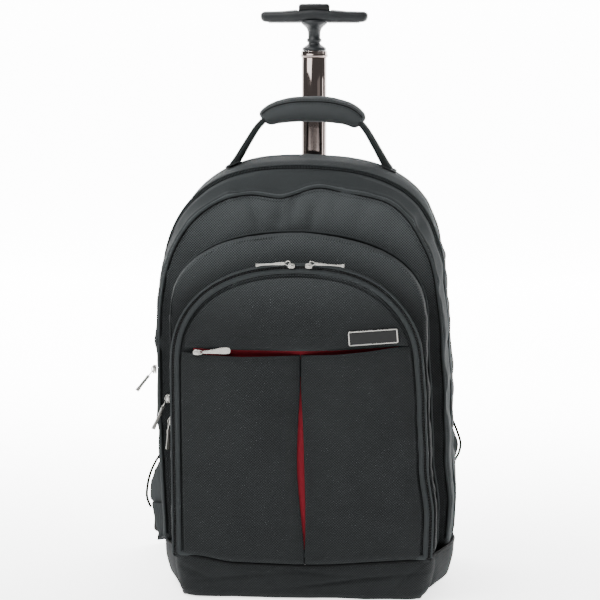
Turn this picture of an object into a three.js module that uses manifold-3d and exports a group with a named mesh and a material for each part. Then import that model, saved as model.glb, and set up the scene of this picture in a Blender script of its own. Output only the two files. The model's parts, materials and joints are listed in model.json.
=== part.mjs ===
import * as THREE from 'three';
import { mergeVertices } from 'three/addons/utils/BufferGeometryUtils.js';
import Module from 'manifold-3d';

// A wheeled backpack: four stacked compartments of padded cloth, a boot and a wheel base
// under them, a carry handle, two shoulder straps and a single pull-up pole with a T grip.
// Millimetres: X to the right as seen from the front, Y to the back, Z up. Sizes below are
// from the bag's own middle plane. The last lines move the whole onto its origin.

// Clearances
const GAP = 0.3;
const SLIDE_GAP = 0.5;

// Cloth and padding
const CLOTH = 2.5;
const PADDED = 4;
const TAPE = 3;

// Heights of the bag
const BOOT_BOTTOM = 8;
const BOOT_TOP = 43.7;
const SEAT = BOOT_TOP + GAP;

// Faces of the compartments along Y, from the back to the front
const BACK_WALL = 86;
const MAIN_MOUTH = 5;
const MAIN_ZIP_WIDTH = 9;
const SECOND_DEPTH = 38;
const THIRD_DEPTH = 29;
const POCKET_DEPTH = 17;
const SECOND_MOUTH = MAIN_MOUTH - MAIN_ZIP_WIDTH;
const SECOND_FACE = SECOND_MOUTH - SECOND_DEPTH;
const SECOND_ZIP_WIDTH = 9;
const THIRD_MOUTH = SECOND_FACE - GAP - SECOND_ZIP_WIDTH - GAP;
const THIRD_FACE = THIRD_MOUTH - THIRD_DEPTH;
const POCKET_MOUTH = THIRD_FACE - GAP;
const POCKET_FACE = POCKET_MOUTH - POCKET_DEPTH;

// Outline of each compartment: half width at the arch's foot, half width at the bottom,
// arch foot height, top height, roundness of the arch, bottom corner radius, and how far
// the right shoulder hangs lower than the left.
const MAIN = { half: 172, foot: 162, spring: 268, top: 484, power: 2.7, corner: 30, slump: 8 };
const SECOND = { half: 170, foot: 160, spring: 268, top: 472, power: 2.7, corner: 30, slump: 12 };
const THIRD = { half: 151, foot: 148, spring: 316, top: 406, power: 2.5, corner: 16, slump: 10 };
const POCKET = { half: 145, foot: 143, spring: 262, top: 376, power: 2.35, corner: 8, slump: 4 };

// Sections of each compartment, from its mouth to its closed face: place along the depth,
// width, top and foot, as shares of the compartment's own sizes.
const MAIN_ROWS = [
  { at: 0, half: 0.985, top: 0.973, foot: 0 },
  { at: 0.3, half: 1, top: 0.99, foot: 0 },
  { at: 0.75, half: 0.995, top: 1, foot: 0 },
  { at: 0.95, half: 0.975, top: 0.992, foot: 0.006 },
  { at: 1, half: 0.94, top: 0.968, foot: 0.03 },
];
const SECOND_ROWS = [
  { at: 0, half: 1, top: 1, foot: 0 },
  { at: 0.35, half: 1, top: 0.994, foot: 0 },
  { at: 0.8, half: 0.988, top: 0.972, foot: 0 },
  { at: 0.97, half: 0.975, top: 0.958, foot: 0.004 },
  { at: 1, half: 0.965, top: 0.95, foot: 0.012 },
];
const THIRD_ROWS = [
  { at: 0, half: 1, top: 1, foot: 0 },
  { at: 0.6, half: 1.01, top: 1.004, foot: 0 },
  { at: 0.93, half: 1, top: 0.998, foot: 0 },
  { at: 1, half: 0.98, top: 0.989, foot: 0.008 },
];
const POCKET_ROWS = [
  { at: 0, half: 0.962, top: 0.99, foot: 0 },
  { at: 0.27, half: 0.966, top: 0.994, foot: 0 },
  { at: 0.55, half: 1, top: 1, foot: 0 },
  { at: 0.85, half: 1, top: 1, foot: 0 },
  { at: 1, half: 0.985, top: 0.99, foot: 0.008 },
];
const OUTLINE_STEPS = { bottom: 2, corner: 3, side: 4, arch: 10 };

// Front zip, piping, and the panels inside the front zip
const PIPING = 1.8;
const PIPING_INSET = 4;
const ZIP_BAND = 9;
const ZIP_INSET = 2.5;
const ZIP_THICK = 4;
const SLIT_HEIGHT = 284;
const SLIT_OPEN = 6;
const LINING = 1.2;
const PANEL_MARGIN = 0.6;
const PATCH_SLACK = 9;
const PATCH_LIFT = 2.4;
const UPPER_CROWN = 5;
const PLEAT_OPEN = 8;
const PLEAT_LINING_HALF = 8;
const PLEAT_TOP_SHARE = 0.86;
const PLEAT_FOOT_SHARE = 0.06;
const SLIT_LINING = { left: 0.505, right: 0.903 };

// Label plate
const LABEL = { wide: 54, high: 16, thick: 2.2, rim: 1.6, x: 80, up: 16, tilt: 4.4 };

// Zip sliders and pullers
const SLIDER = { long: 11, wide: 8, thick: 5 };
const PULLER_THICK = 1.6;
const PULLER_WIDE = 4;
const FRONT_PULL = { x: 9, long: 32, wide: 3, end: 5 };
const SLIT_PULL = { inset: 16.1, long: 34, wide: 4, end: 9 };
const SIDE_PULLS = [
  { name: 'side_main', zip: 'main', z: 232, long: 22, lean: 38 },
  { name: 'side_second', zip: 'second', z: 216, long: 33, lean: 16 },
  { name: 'side_spare', zip: 'second', z: 190, long: 29, lean: 3 },
];

// Boot
const BOOT = { proud: 2, back: 58, corner: 26, round: 14, wall: 3 };

// Pole
const POLE_Y = 108;
const INNER_TUBE = { outer: 12, wall: 1.2, length: 415 };
const MID_TUBE = { outer: 14.5, wall: 1.6, length: 430 };
const OUTER_TUBE_WALL = 1.6;
const POLE_RAISED = 122.5;
const BEZEL = { flange: 21.2, high: 7, neck: 18.4, sunk: 6 };
const COLLAR = { outer: 15.8, high: 5, lip: 2.4 };
const TUBE_SIDES = 20;

// T grip: heights above its flange's underside, and radii of the stem
const STEM = [
  { up: 0, radius: 13.8 },
  { up: 3.4, radius: 13.8 },
  { up: 5.2, radius: 10.4 },
  { up: 8.2, radius: 7 },
  { up: 10.2, radius: 8.6 },
  { up: 13.6, radius: 8.6 },
  { up: 14.4, radius: 7.2 },
  { up: 22, radius: 7.4 },
  { up: 27, radius: 10.5 },
  { up: 31, radius: 15.4 },
  { up: 33.4, radius: 15.4 },
];
const BAR = { long: 125, foot: 32, high: 17.5, deep: 23 };
const BAR_ROWS = [
  { at: -1, low: 0.36, top: 0.5, deep: 0.3 },
  { at: -0.98, low: 0.18, top: 0.66, deep: 0.6 },
  { at: -0.93, low: 0.04, top: 0.76, deep: 0.82 },
  { at: -0.6, low: 0, top: 0.76, deep: 0.92 },
  { at: -0.35, low: 0, top: 0.86, deep: 1 },
  { at: 0, low: 0, top: 1, deep: 1 },
  { at: 0.35, low: 0, top: 0.86, deep: 1 },
  { at: 0.6, low: 0, top: 0.76, deep: 0.92 },
  { at: 0.93, low: 0.04, top: 0.76, deep: 0.82 },
  { at: 0.98, low: 0.18, top: 0.66, deep: 0.6 },
  { at: 1, low: 0.36, top: 0.5, deep: 0.3 },
];
const BUTTON = { long: 36, deep: 13, high: 9, proud: 4.5, travel: 4 };

// Wheels and their base
const WHEEL = { radius: 26, tyre: 5.5, wide: 22, x: 130, y: 114 };
const HUB_BORE = 4.35;
const AXLE_RADIUS = 4;
const AXLE_SIDES = 16;
const TYRE_SIDES = 24;
const WELL_GAP = 4;
const EAR = 8;
const WHEEL_BASE = { top: 76, bottom: 11, wall: 3, back: 130 };
const FOOT = { long: 54, wide: 26, x: 108, y: -74 };

// Back panel
const BACK_PANEL = { half: 128, foot: 122, spring: 330, top: 470, power: 2.6, corner: 26, slump: 0 };
const BACK_PANEL_DEPTH = 44;
const BACK_ROWS = [
  { at: 0, half: 1, top: 1, foot: 0 },
  { at: 0.8, half: 0.985, top: 0.994, foot: 0.004 },
  { at: 0.95, half: 0.95, top: 0.98, foot: 0.014 },
  { at: 1, half: 0.9, top: 0.96, foot: 0.03 },
];

// Carry handle: its path between its two feet, and the padded sleeve round its middle
const HANDLE = { y: 62, foot: 90, top: 536, wide: 25, thick: 8 };
const HANDLE_PATH = [
  { across: 1, up: -0.12 },
  { across: 0.94, up: 0.1 },
  { across: 0.8, up: 0.43 },
  { across: 0.67, up: 0.7 },
  { across: 0.5, up: 0.9 },
  { across: 0.25, up: 0.985 },
];
const SLEEVE = { wide: 38, high: 29, from: 0.255, ends: 0.66 };
const ANCHOR = { long: 26, wide: 32, thick: 3 };

// Shoulder straps: the path of each pad below the yoke, down to its end. Its rows are shares:
// across of the main compartment's half width, out of the pad's greatest stand-off from the
// back panel, up of the yoke's height.
const PAD = { wide: 60, end: 34, thick: 13, out: 35.7 };
const PAD_TAPER = 0.94;
const YOKE = { half: 78, high: 34, z: 420 };
const LEFT_PAD = [
  { across: -0.262, out: 0.635, up: 0.833 },
  { across: -0.372, out: 1, up: 0.667 },
  { across: -0.593, out: 1, up: 0.476 },
  { across: -0.86, out: 0.8, up: 0.305 },
  { across: -1.02, out: 0.62, up: 0.19 },
  { across: -1.058, out: 0.5, up: 0.095 },
];
const RIGHT_PAD = [
  { across: 0.267, out: 0.635, up: 0.833 },
  { across: 0.36, out: 1, up: 0.68 },
  { across: 0.535, out: 1, up: 0.524 },
  { across: 0.744, out: 0.83, up: 0.393 },
  { across: 0.85, out: 0.62, up: 0.3 },
  { across: 0.866, out: 0.54, up: 0.235 },
];
const PAD_TOP_X = 42;
const WEBBING = { wide: 22, thick: 2, long: 12, bend: 7, clear: 4 };
const LOCK = { wide: 34, high: 22, thick: 6, rim: 5 };
const TAB = { wide: 28, high: 34, thick: 4, x: 142, z: 128 };

// Colours, roughness and metalness
const FINISH = {
  woven: { color: 0x2f3437, roughness: 0.85, metalness: 0 },
  plain: { color: 0x3d4245, roughness: 0.8, metalness: 0 },
  padding: { color: 0x26292b, roughness: 0.9, metalness: 0 },
  tape: { color: 0x191b1c, roughness: 0.7, metalness: 0 },
  red: { color: 0x8c1a2a, roughness: 0.6, metalness: 0 },
  steel: { color: 0xb9bbb8, roughness: 0.3, metalness: 1 },
  black: { color: 0x141516, roughness: 0.45, metalness: 0 },
  grip: { color: 0x2b3133, roughness: 0.6, metalness: 0 },
  pole: { color: 0x4a4442, roughness: 0.15, metalness: 1 },
  rubber: { color: 0x1b1b1b, roughness: 0.9, metalness: 0 },
};

const wasm = await Module();
wasm.setup();

const pack = new THREE.Group();

function addMesh(name, geometry, finish, parent = pack) {
  const mesh = new THREE.Mesh(geometry, new THREE.MeshStandardMaterial(FINISH[finish]));
  mesh.name = name;
  parent.add(mesh);
  return mesh;
}

function vec(x, y, z) {
  return new THREE.Vector3(x, y, z);
}

function lerp(a, b, t) {
  return a + (b - a) * t;
}

function centreOf(ring) {
  const sum = ring.reduce((total, point) => total.add(point), vec(0, 0, 0));
  return sum.divideScalar(ring.length);
}

// Six times the signed volume that a triangle list encloses
function signedVolume(positions, index) {
  const corner = (i) => vec(positions[3 * i], positions[3 * i + 1], positions[3 * i + 2]);
  let total = 0;
  for (let i = 0; i < index.length; i += 3) {
    total += corner(index[i]).dot(corner(index[i + 1]).cross(corner(index[i + 2])));
  }
  return total;
}

// A closed skin through a list of rings with as many points each. The two ends are closed
// by fans, or the last ring joins the first where the skin is a loop.
function loft(rings, loop = false) {
  const count = rings[0].length;
  const positions = [];
  rings.forEach((ring) => ring.forEach((p) => positions.push(p.x, p.y, p.z)));
  const index = [];
  const bands = loop ? rings.length : rings.length - 1;
  for (let r = 0; r < bands; r += 1) {
    const here = r * count;
    const next = ((r + 1) % rings.length) * count;
    for (let i = 0; i < count; i += 1) {
      const j = (i + 1) % count;
      index.push(here + i, here + j, next + j);
      index.push(here + i, next + j, next + i);
    }
  }
  if (!loop) {
    [rings[0], rings[rings.length - 1]].forEach((ring, end) => {
      const centre = centreOf(ring);
      const hub = positions.length / 3;
      positions.push(centre.x, centre.y, centre.z);
      const start = end === 0 ? 0 : (rings.length - 1) * count;
      for (let i = 0; i < count; i += 1) {
        const j = (i + 1) % count;
        const pair = end === 0 ? [start + j, start + i] : [start + i, start + j];
        index.push(hub, ...pair);
      }
    });
  }
  if (signedVolume(positions, index) < 0) {
    for (let i = 0; i < index.length; i += 3) {
      [index[i + 1], index[i + 2]] = [index[i + 2], index[i + 1]];
    }
  }
  const geometry = new THREE.BufferGeometry();
  geometry.setAttribute('position', new THREE.Float32BufferAttribute(positions, 3));
  geometry.setIndex(index);
  geometry.computeVertexNormals();
  return geometry;
}

function toManifold(geometry) {
  const bare = geometry.clone();
  bare.deleteAttribute('normal');
  bare.deleteAttribute('uv');
  const merged = mergeVertices(bare, 1e-3);
  return new wasm.Manifold(new wasm.Mesh({
    numProp: 3,
    vertProperties: new Float32Array(merged.attributes.position.array),
    triVerts: new Uint32Array(merged.index.array),
  }));
}

function fromManifold(solid) {
  const mesh = solid.getMesh();
  const geometry = new THREE.BufferGeometry();
  geometry.setAttribute('position', new THREE.BufferAttribute(mesh.vertProperties, 3));
  geometry.setIndex(new THREE.BufferAttribute(mesh.triVerts, 1));
  geometry.computeVertexNormals();
  return geometry;
}

function cut(geometry, ...tools) {
  const cutAway = (solid, tool) => solid.subtract(toManifold(tool));
  return fromManifold(tools.reduce(cutAway, toManifold(geometry)));
}

function join(geometry, ...others) {
  const joinOn = (solid, other) => solid.add(toManifold(other));
  return fromManifold(others.reduce(joinOn, toManifold(geometry)));
}

function boxBetween(low, high) {
  const box = new THREE.BoxGeometry(high.x - low.x, high.y - low.y, high.z - low.z);
  return box.translate((low.x + high.x) / 2, (low.y + high.y) / 2, (low.z + high.z) / 2);
}

function cylinderX(radius, from, to, y, z, sides) {
  const geometry = new THREE.CylinderGeometry(radius, radius, to - from, sides);
  return geometry.rotateZ(Math.PI / 2).translate((from + to) / 2, y, z);
}

function cylinderZ(radius, from, to, y, sides) {
  const geometry = new THREE.CylinderGeometry(radius, radius, to - from, sides);
  return geometry.rotateX(Math.PI / 2).translate(0, y, (from + to) / 2);
}

// Half outline of a compartment, from the middle of its bottom up the right side to the
// middle of its top: flat bottom, round corner, leaning side, superellipse arch.
function halfOutline({ half, foot, bottom, spring, top, power, corner, slump }, side) {
  const points = [];
  const steps = OUTLINE_STEPS;
  for (let i = 0; i < steps.bottom; i += 1) {
    points.push([(foot - corner) * (i / steps.bottom), bottom]);
  }
  for (let i = 0; i <= steps.corner; i += 1) {
    const turn = (Math.PI / 2) * (i / steps.corner);
    points.push([foot - corner + corner * Math.sin(turn), bottom + corner * (1 - Math.cos(turn))]);
  }
  for (let i = 1; i < steps.side; i += 1) {
    const t = i / steps.side;
    const wide = lerp(foot, half, Math.sin((Math.PI / 2) * t));
    points.push([wide, lerp(bottom + corner, spring, t)]);
  }
  for (let i = 0; i <= steps.arch; i += 1) {
    const turn = (Math.PI / 2) * (i / steps.arch);
    const across = Math.cos(turn) ** (2 / power);
    const up = Math.sin(turn) ** (2 / power);
    const drop = side > 0 ? slump * across * up : 0;
    points.push([i === steps.arch ? 0 : half * across, lerp(spring, top, up) - drop]);
  }
  return points.map(([x, z]) => [side * x, z]);
}

function outline(shape) {
  const right = halfOutline(shape, 1);
  const left = halfOutline(shape, -1).reverse();
  return right.concat(left.slice(1, -1));
}

// Half width of an outline at a height
function halfAt({ half, foot, bottom, spring, top, power, corner }, z) {
  if (z >= spring) {
    const up = Math.min((z - spring) / (top - spring), 1);
    return half * (1 - up ** power) ** (1 / power);
  }
  const t = Math.max((z - bottom - corner) / (spring - bottom - corner), 0);
  return lerp(foot, half, Math.sin((Math.PI / 2) * t));
}

// Height of an outline's arch over a place across it
function archAt({ half, spring, top, power }, x) {
  const across = Math.min(Math.abs(x) / half, 1);
  return lerp(spring, top, (1 - across ** power) ** (1 / power));
}

function inset(shape, by) {
  return {
    ...shape,
    half: shape.half - by,
    foot: shape.foot - by,
    bottom: shape.bottom + by,
    top: shape.top - by,
    corner: Math.max(shape.corner - by, 1),
  };
}

function section(shape, row) {
  const high = shape.top - shape.bottom;
  const bottom = shape.bottom + high * row.foot;
  return {
    ...shape,
    half: shape.half * row.half,
    foot: shape.foot * row.half,
    bottom,
    top: shape.bottom + high * row.top,
    spring: shape.bottom + (shape.spring - shape.bottom) * row.top,
  };
}

function ringAt(shape, y) {
  return outline(shape).map(([x, z]) => vec(x, y, z));
}

// An open tub: an outer skin from its closed face to its mouth and an inner skin back
function tub(shape, rows, mouth, face, wall) {
  const inward = Math.sign(mouth - face);
  const outer = rows.map((row) => ringAt(section(shape, row), lerp(mouth, face, row.at)));
  const inner = rows.map((row) => {
    const y = lerp(mouth, face, row.at);
    const deepest = face + inward * wall;
    const clear = inward > 0 ? Math.max(y, deepest) : Math.min(y, deepest);
    return ringAt(inset(section(shape, row), wall), clear);
  });
  inner.pop();
  return loft([...outer.reverse(), ...inner]);
}

// A flat band that closes a loop between two outlines, such as a zip's tape
function loopBand(shape, wall, from, to) {
  const outer = outline(shape);
  const inner = outline(inset(shape, wall));
  const rings = outer.map(([x, z], i) => [
    vec(x, from, z),
    vec(x, to, z),
    vec(inner[i][0], to, inner[i][1]),
    vec(inner[i][0], from, inner[i][1]),
  ]);
  return loft(rings, true);
}

// The part of an outline above its bottom corners
function archRun(shape) {
  const points = outline(shape);
  const skip = OUTLINE_STEPS.bottom + OUTLINE_STEPS.corner;
  return points.slice(skip, points.length - skip + 1);
}

// A flat band on the face of a panel, along its arch
function archBand(shape, from, to, wide) {
  const outer = archRun(shape);
  const inner = archRun(inset(shape, wide));
  const rings = outer.map(([x, z], i) => [
    vec(x, from, z),
    vec(x, to, z),
    vec(inner[i][0], to, inner[i][1]),
    vec(inner[i][0], from, inner[i][1]),
  ]);
  return loft(rings);
}

// A round cord on the face of a panel, along its arch
function archCord(shape, y, radius) {
  const path = archRun(shape);
  const sides = 6;
  const rings = path.map(([x, z], i) => {
    const before = path[Math.max(i - 1, 0)];
    const after = path[Math.min(i + 1, path.length - 1)];
    const along = vec(after[0] - before[0], 0, after[1] - before[1]).normalize();
    const across = vec(along.z, 0, -along.x);
    return Array.from({ length: sides }, (_, k) => {
      const turn = (2 * Math.PI * k) / sides;
      const point = vec(x, y + radius * Math.cos(turn), z);
      return point.addScaledVector(across, radius * Math.sin(turn));
    });
  });
  return loft(rings);
}

// A sheet of cloth as a closed slab: front(u, v) gives its outer face, and its wall runs
// back along Y
function slab(front, columns, rows, wall) {
  const grid = [];
  for (let r = 0; r <= rows; r += 1) {
    for (let c = 0; c <= columns; c += 1) {
      grid.push(front(c / columns, r / rows));
    }
  }
  const wide = columns + 1;
  const count = grid.length;
  const positions = [];
  grid.forEach((p) => positions.push(p.x, p.y, p.z));
  grid.forEach((p) => positions.push(p.x, p.y + wall, p.z));
  const index = [];
  const quad = (a, b, c, d) => index.push(a, b, c, a, c, d);
  for (let r = 0; r < rows; r += 1) {
    for (let c = 0; c < columns; c += 1) {
      const a = r * wide + c;
      quad(a, a + 1, a + wide + 1, a + wide);
      quad(count + a, count + a + wide, count + a + wide + 1, count + a + 1);
    }
  }
  for (let c = 0; c < columns; c += 1) {
    const top = rows * wide + c;
    quad(c, count + c, count + c + 1, c + 1);
    quad(top, top + 1, count + top + 1, count + top);
  }
  for (let r = 0; r < rows; r += 1) {
    const left = r * wide;
    const right = left + columns;
    quad(left, left + wide, count + left + wide, count + left);
    quad(right, count + right, count + right + wide, right + wide);
  }
  const geometry = new THREE.BufferGeometry();
  geometry.setAttribute('position', new THREE.Float32BufferAttribute(positions, 3));
  geometry.setIndex(signedVolume(positions, index) < 0 ? index.reverse() : index);
  geometry.computeVertexNormals();
  return geometry;
}

// A rectangle of two half sizes with its corners cut
function cutCorners(w, t, c) {
  return [
    [-w + c, -t],
    [w - c, -t],
    [w, -t + c],
    [w, t - c],
    [w - c, t],
    [-w + c, t],
    [-w, t - c],
    [-w, -t + c],
  ];
}

// Section of a strap: a rectangle with cut corners, or a plain one for thin webbing
function strapSection(wide, thick) {
  const w = wide / 2;
  const t = thick / 2;
  if (thick < 4) {
    return [[-w, -t], [w, -t], [w, t], [-w, t]];
  }
  return cutCorners(w, t, t * 0.7);
}

// Rings of a strap section along a curve. The strap's width lies along a given direction,
// turned square to the path.
function strapRings(curve, steps, widthAlong, shape, from = 0, to = 1) {
  return Array.from({ length: steps + 1 }, (_, i) => {
    const t = lerp(from, to, i / steps);
    const point = curve.getPointAt(t);
    const tangent = curve.getTangentAt(t);
    const normal = tangent.clone().cross(widthAlong(tangent)).normalize();
    const across = normal.clone().cross(tangent).normalize();
    const place = ([w, n]) => point.clone().addScaledVector(across, w).addScaledVector(normal, n);
    return shape(t).map(place);
  });
}

// Compartments
const main = { ...MAIN, bottom: SEAT };
const second = { ...SECOND, bottom: SEAT };
const third = { ...THIRD, bottom: SEAT };
const pocket = { ...POCKET, bottom: SEAT };

addMesh('main_shell', tub(main, MAIN_ROWS, MAIN_MOUTH, BACK_WALL, CLOTH), 'plain');
addMesh('second_shell', tub(second, SECOND_ROWS, SECOND_MOUTH, SECOND_FACE, CLOTH), 'plain');
addMesh('third_shell', tub(third, THIRD_ROWS, THIRD_MOUTH, THIRD_FACE, CLOTH), 'woven');
addMesh('pocket_shell', tub(pocket, POCKET_ROWS, POCKET_MOUTH, POCKET_FACE, CLOTH), 'woven');

// Zips between the tubs, each a loop of tape
const mainMouth = section(main, MAIN_ROWS[0]);
addMesh('main_zip', loopBand(mainMouth, TAPE, MAIN_MOUTH - GAP, SECOND_MOUTH + GAP), 'tape');
addMesh('second_zip', loopBand(third, TAPE, SECOND_FACE - GAP, THIRD_MOUTH + GAP), 'tape');

// Piping along the front edges
const secondFace = section(second, SECOND_ROWS[SECOND_ROWS.length - 1]);
const thirdFace = section(third, THIRD_ROWS[THIRD_ROWS.length - 1]);
const pocketFace = section(pocket, POCKET_ROWS[POCKET_ROWS.length - 1]);
const pipingSeat = GAP + PIPING;
const secondEdge = inset(secondFace, PIPING_INSET);
const thirdEdge = inset(thirdFace, PIPING_INSET);
addMesh('second_piping', archCord(secondEdge, SECOND_FACE - pipingSeat, PIPING), 'tape');
addMesh('third_piping', archCord(thirdEdge, THIRD_FACE - pipingSeat, PIPING), 'tape');

// Front zip on the pocket's face
const zipShape = inset(pocketFace, ZIP_INSET);
const zipFace = POCKET_FACE - GAP - ZIP_THICK;
addMesh('front_zip', archBand(zipShape, POCKET_FACE - GAP, zipFace, ZIP_BAND), 'tape');

// Panels inside the front zip
const panelShape = inset(zipShape, ZIP_BAND + PANEL_MARGIN);
const panelBack = POCKET_FACE - GAP;
const upperFoot = SLIT_HEIGHT + SLIT_OPEN;
const UPPER_SIDE_CLEAR = 2;
const upperHalf = halfAt(panelShape, upperFoot) - UPPER_SIDE_CLEAR;

function upperFront(u, v) {
  const x = -upperHalf * Math.cos(Math.PI * u);
  const drop = x > 0 ? panelShape.slump * (x / panelShape.half) : 0;
  const z = lerp(upperFoot, Math.max(archAt(panelShape, x) - drop, upperFoot + 1), v);
  const crown = UPPER_CROWN * Math.sin(Math.PI * u) * Math.cos((Math.PI / 2) * v);
  return vec(x, panelBack - CLOTH - crown, z);
}
addMesh('upper_panel', slab(upperFront, 12, 4, CLOTH), 'woven');

const patchFoot = SEAT + 1.5;

// Half the opening of the upright pleat at a share of the patch's height
function pleatHalf(v) {
  const t = (v - PLEAT_FOOT_SHARE) / (PLEAT_TOP_SHARE - PLEAT_FOOT_SHARE);
  const open = t > 0 && t < 1 ? Math.sin(Math.PI * t) : 0;
  return GAP + (PLEAT_OPEN / 2) * open;
}

function patchFront(side) {
  return (u, v) => {
    const z = lerp(patchFoot, SLIT_HEIGHT, v);
    const edge = halfAt(panelShape, Math.min(z, SLIT_HEIGHT));
    const x = side * lerp(edge, pleatHalf(v), u);
    const lift = PATCH_LIFT * Math.sin((Math.PI / 2) * u);
    const slack = PATCH_SLACK * Math.sin(Math.PI * u) * Math.sin((Math.PI / 2) * v) ** 1.5;
    return vec(x, panelBack - CLOTH - lift - slack, z);
  };
}
addMesh('pocket_left', slab(patchFront(-1), 8, 8, CLOTH), 'woven');
addMesh('pocket_right', slab(patchFront(1), 8, 8, CLOTH), 'woven');

const slitHalf = halfAt(panelShape, upperFoot);
addMesh('slit_lining', boxBetween(
  vec(-SLIT_LINING.left * slitHalf, panelBack - LINING, SLIT_HEIGHT + GAP),
  vec(SLIT_LINING.right * slitHalf, panelBack, upperFoot - GAP),
), 'red');
const pleatFoot = lerp(patchFoot, SLIT_HEIGHT, PLEAT_FOOT_SHARE);
const pleatTop = lerp(patchFoot, SLIT_HEIGHT, PLEAT_TOP_SHARE);
addMesh('pleat_lining', boxBetween(
  vec(-PLEAT_LINING_HALF, panelBack - LINING, pleatFoot),
  vec(PLEAT_LINING_HALF, panelBack, pleatTop),
), 'red');

// Label plate: a rim round a bare field, lying on the upper panel and turned to its slope
function onUpperPanel(geometry) {
  const share = LABEL.x / upperHalf;
  const crown = UPPER_CROWN * Math.sqrt(1 - share * share);
  const slope = (UPPER_CROWN * UPPER_CROWN * share) / (crown * upperHalf);
  const y = panelBack - CLOTH - crown - GAP;
  return geometry.rotateY(-THREE.MathUtils.degToRad(LABEL.tilt))
    .rotateZ(Math.atan(slope))
    .translate(LABEL.x, y, upperFoot + LABEL.up);
}
const plateLow = vec(-LABEL.wide / 2, -LABEL.thick, -LABEL.high / 2);
const plateHigh = vec(LABEL.wide / 2, 0, LABEL.high / 2);
const windowLow = vec(plateLow.x + LABEL.rim, plateLow.y - 1, plateLow.z + LABEL.rim);
const windowHigh = vec(plateHigh.x - LABEL.rim, plateHigh.y + 1, plateHigh.z - LABEL.rim);
const labelRim = cut(boxBetween(plateLow, plateHigh), boxBetween(windowLow, windowHigh));
addMesh('label_rim', onUpperPanel(labelRim), 'steel');
addMesh('label_field', onUpperPanel(boxBetween(
  vec(windowLow.x + GAP, -LABEL.thick * 0.7, windowLow.z + GAP),
  vec(windowHigh.x - GAP, 0, windowHigh.z - GAP),
)), 'black');

// A zip slider and its puller, hung at a place. The puller points away from the slider
// in the X-Z plane, at an angle from +X.
function addPull(name, { x, y, z, long, wide, end, angle, turn = 0 }) {
  const place = new THREE.Group();
  place.position.set(x, y, z);
  place.rotation.set(0, -THREE.MathUtils.degToRad(angle), turn);
  pack.add(place);
  const low = vec(-SLIDER.long / 2, -SLIDER.thick, -SLIDER.wide / 2);
  const high = vec(SLIDER.long / 2, 0, SLIDER.wide / 2);
  addMesh(`${name}_slider`, boxBetween(low, high), 'steel', place);
  const start = SLIDER.long / 2 + GAP;
  const outlinePoints = [
    new THREE.Vector2(start, -wide / 2),
    new THREE.Vector2(start + long, -end / 2),
    new THREE.Vector2(start + long + end / 2, 0),
    new THREE.Vector2(start + long, end / 2),
    new THREE.Vector2(start, wide / 2),
  ];
  const puller = new THREE.ExtrudeGeometry(new THREE.Shape(outlinePoints), {
    depth: PULLER_THICK,
    bevelEnabled: false,
  });
  const lift = GAP - SLIDER.thick + 1;
  addMesh(`${name}_puller`, puller.rotateX(Math.PI / 2).translate(0, lift, 0), 'steel', place);
}
const zipCrown = zipShape.top - ZIP_BAND / 2;
const frontPull = { ...FRONT_PULL, y: zipFace - GAP, z: zipCrown };
addPull('front_left', { ...frontPull, x: -FRONT_PULL.x, angle: 180 });
addPull('front_right', { ...frontPull, angle: 0 });

// Boot: an open tub of heavy cloth that wraps the bottom of the compartments. In plan it
// follows the foot of each compartment, from the rounded front corner to the back.
function bootRing(by, z) {
  const front = POCKET_FACE - BOOT.proud + by;
  const nose = pocket.foot - BOOT.corner;
  const corner = BOOT.corner - by;
  const steps = 3;
  const points = [];
  for (let i = 0; i <= steps; i += 1) {
    const turn = (Math.PI / 2) * (i / steps);
    points.push([nose + corner * Math.sin(turn), front + corner * (1 - Math.cos(turn))]);
  }
  const sides = [
    [third.foot, THIRD_FACE + BOOT.corner],
    [second.foot, SECOND_FACE],
    [main.foot, MAIN_MOUTH],
  ];
  sides.forEach(([half, y]) => points.push([half + BOOT.proud - by, y]));
  points.push([main.foot + BOOT.proud - by, BOOT.back - by]);
  const left = points.map(([x, y]) => [-x, y]).reverse();
  return points.concat(left).map(([x, y]) => vec(x, y, z));
}
const bootRound = BOOT.round;
const boot = [
  bootRing(bootRound * 0.9, BOOT_BOTTOM),
  bootRing(bootRound * 0.3, BOOT_BOTTOM + bootRound * 0.3),
  bootRing(0, BOOT_BOTTOM + bootRound),
  bootRing(0, BOOT_TOP),
  bootRing(BOOT.wall, BOOT_TOP),
  bootRing(BOOT.wall, BOOT_BOTTOM + bootRound),
  bootRing(bootRound * 0.9 + BOOT.wall, BOOT_BOTTOM + BOOT.wall),
];
addMesh('base_boot', loft(boot), 'woven');

// Wheel base: a moulded shelf under the compartments with a raised back, two wheel wells
// and a hollow under its middle, open to the floor
const baseFront = BOOT.back + GAP;
const baseRise = BACK_WALL + GAP;
const wellInner = WHEEL.x - WHEEL.wide / 2 - WELL_GAP;
const wellOuter = WHEEL.x + WHEEL.wide / 2 + WELL_GAP;
const baseProfile = new THREE.Shape([
  new THREE.Vector2(baseFront, WHEEL_BASE.bottom),
  new THREE.Vector2(WHEEL_BASE.back - 8, WHEEL_BASE.bottom),
  new THREE.Vector2(WHEEL_BASE.back, WHEEL_BASE.bottom + 14),
  new THREE.Vector2(WHEEL_BASE.back, WHEEL_BASE.top),
  new THREE.Vector2(baseRise, WHEEL_BASE.top),
  new THREE.Vector2(baseRise, BOOT_TOP),
  new THREE.Vector2(baseFront, BOOT_TOP),
]);
const baseSpan = 2 * (wellOuter + EAR);
const baseBlock = new THREE.ExtrudeGeometry(baseProfile, { depth: baseSpan, bevelEnabled: false })
  .rotateX(Math.PI / 2).rotateZ(Math.PI / 2).translate(-baseSpan / 2, 0, 0);
const wellRadius = WHEEL.radius + WELL_GAP;
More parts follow.
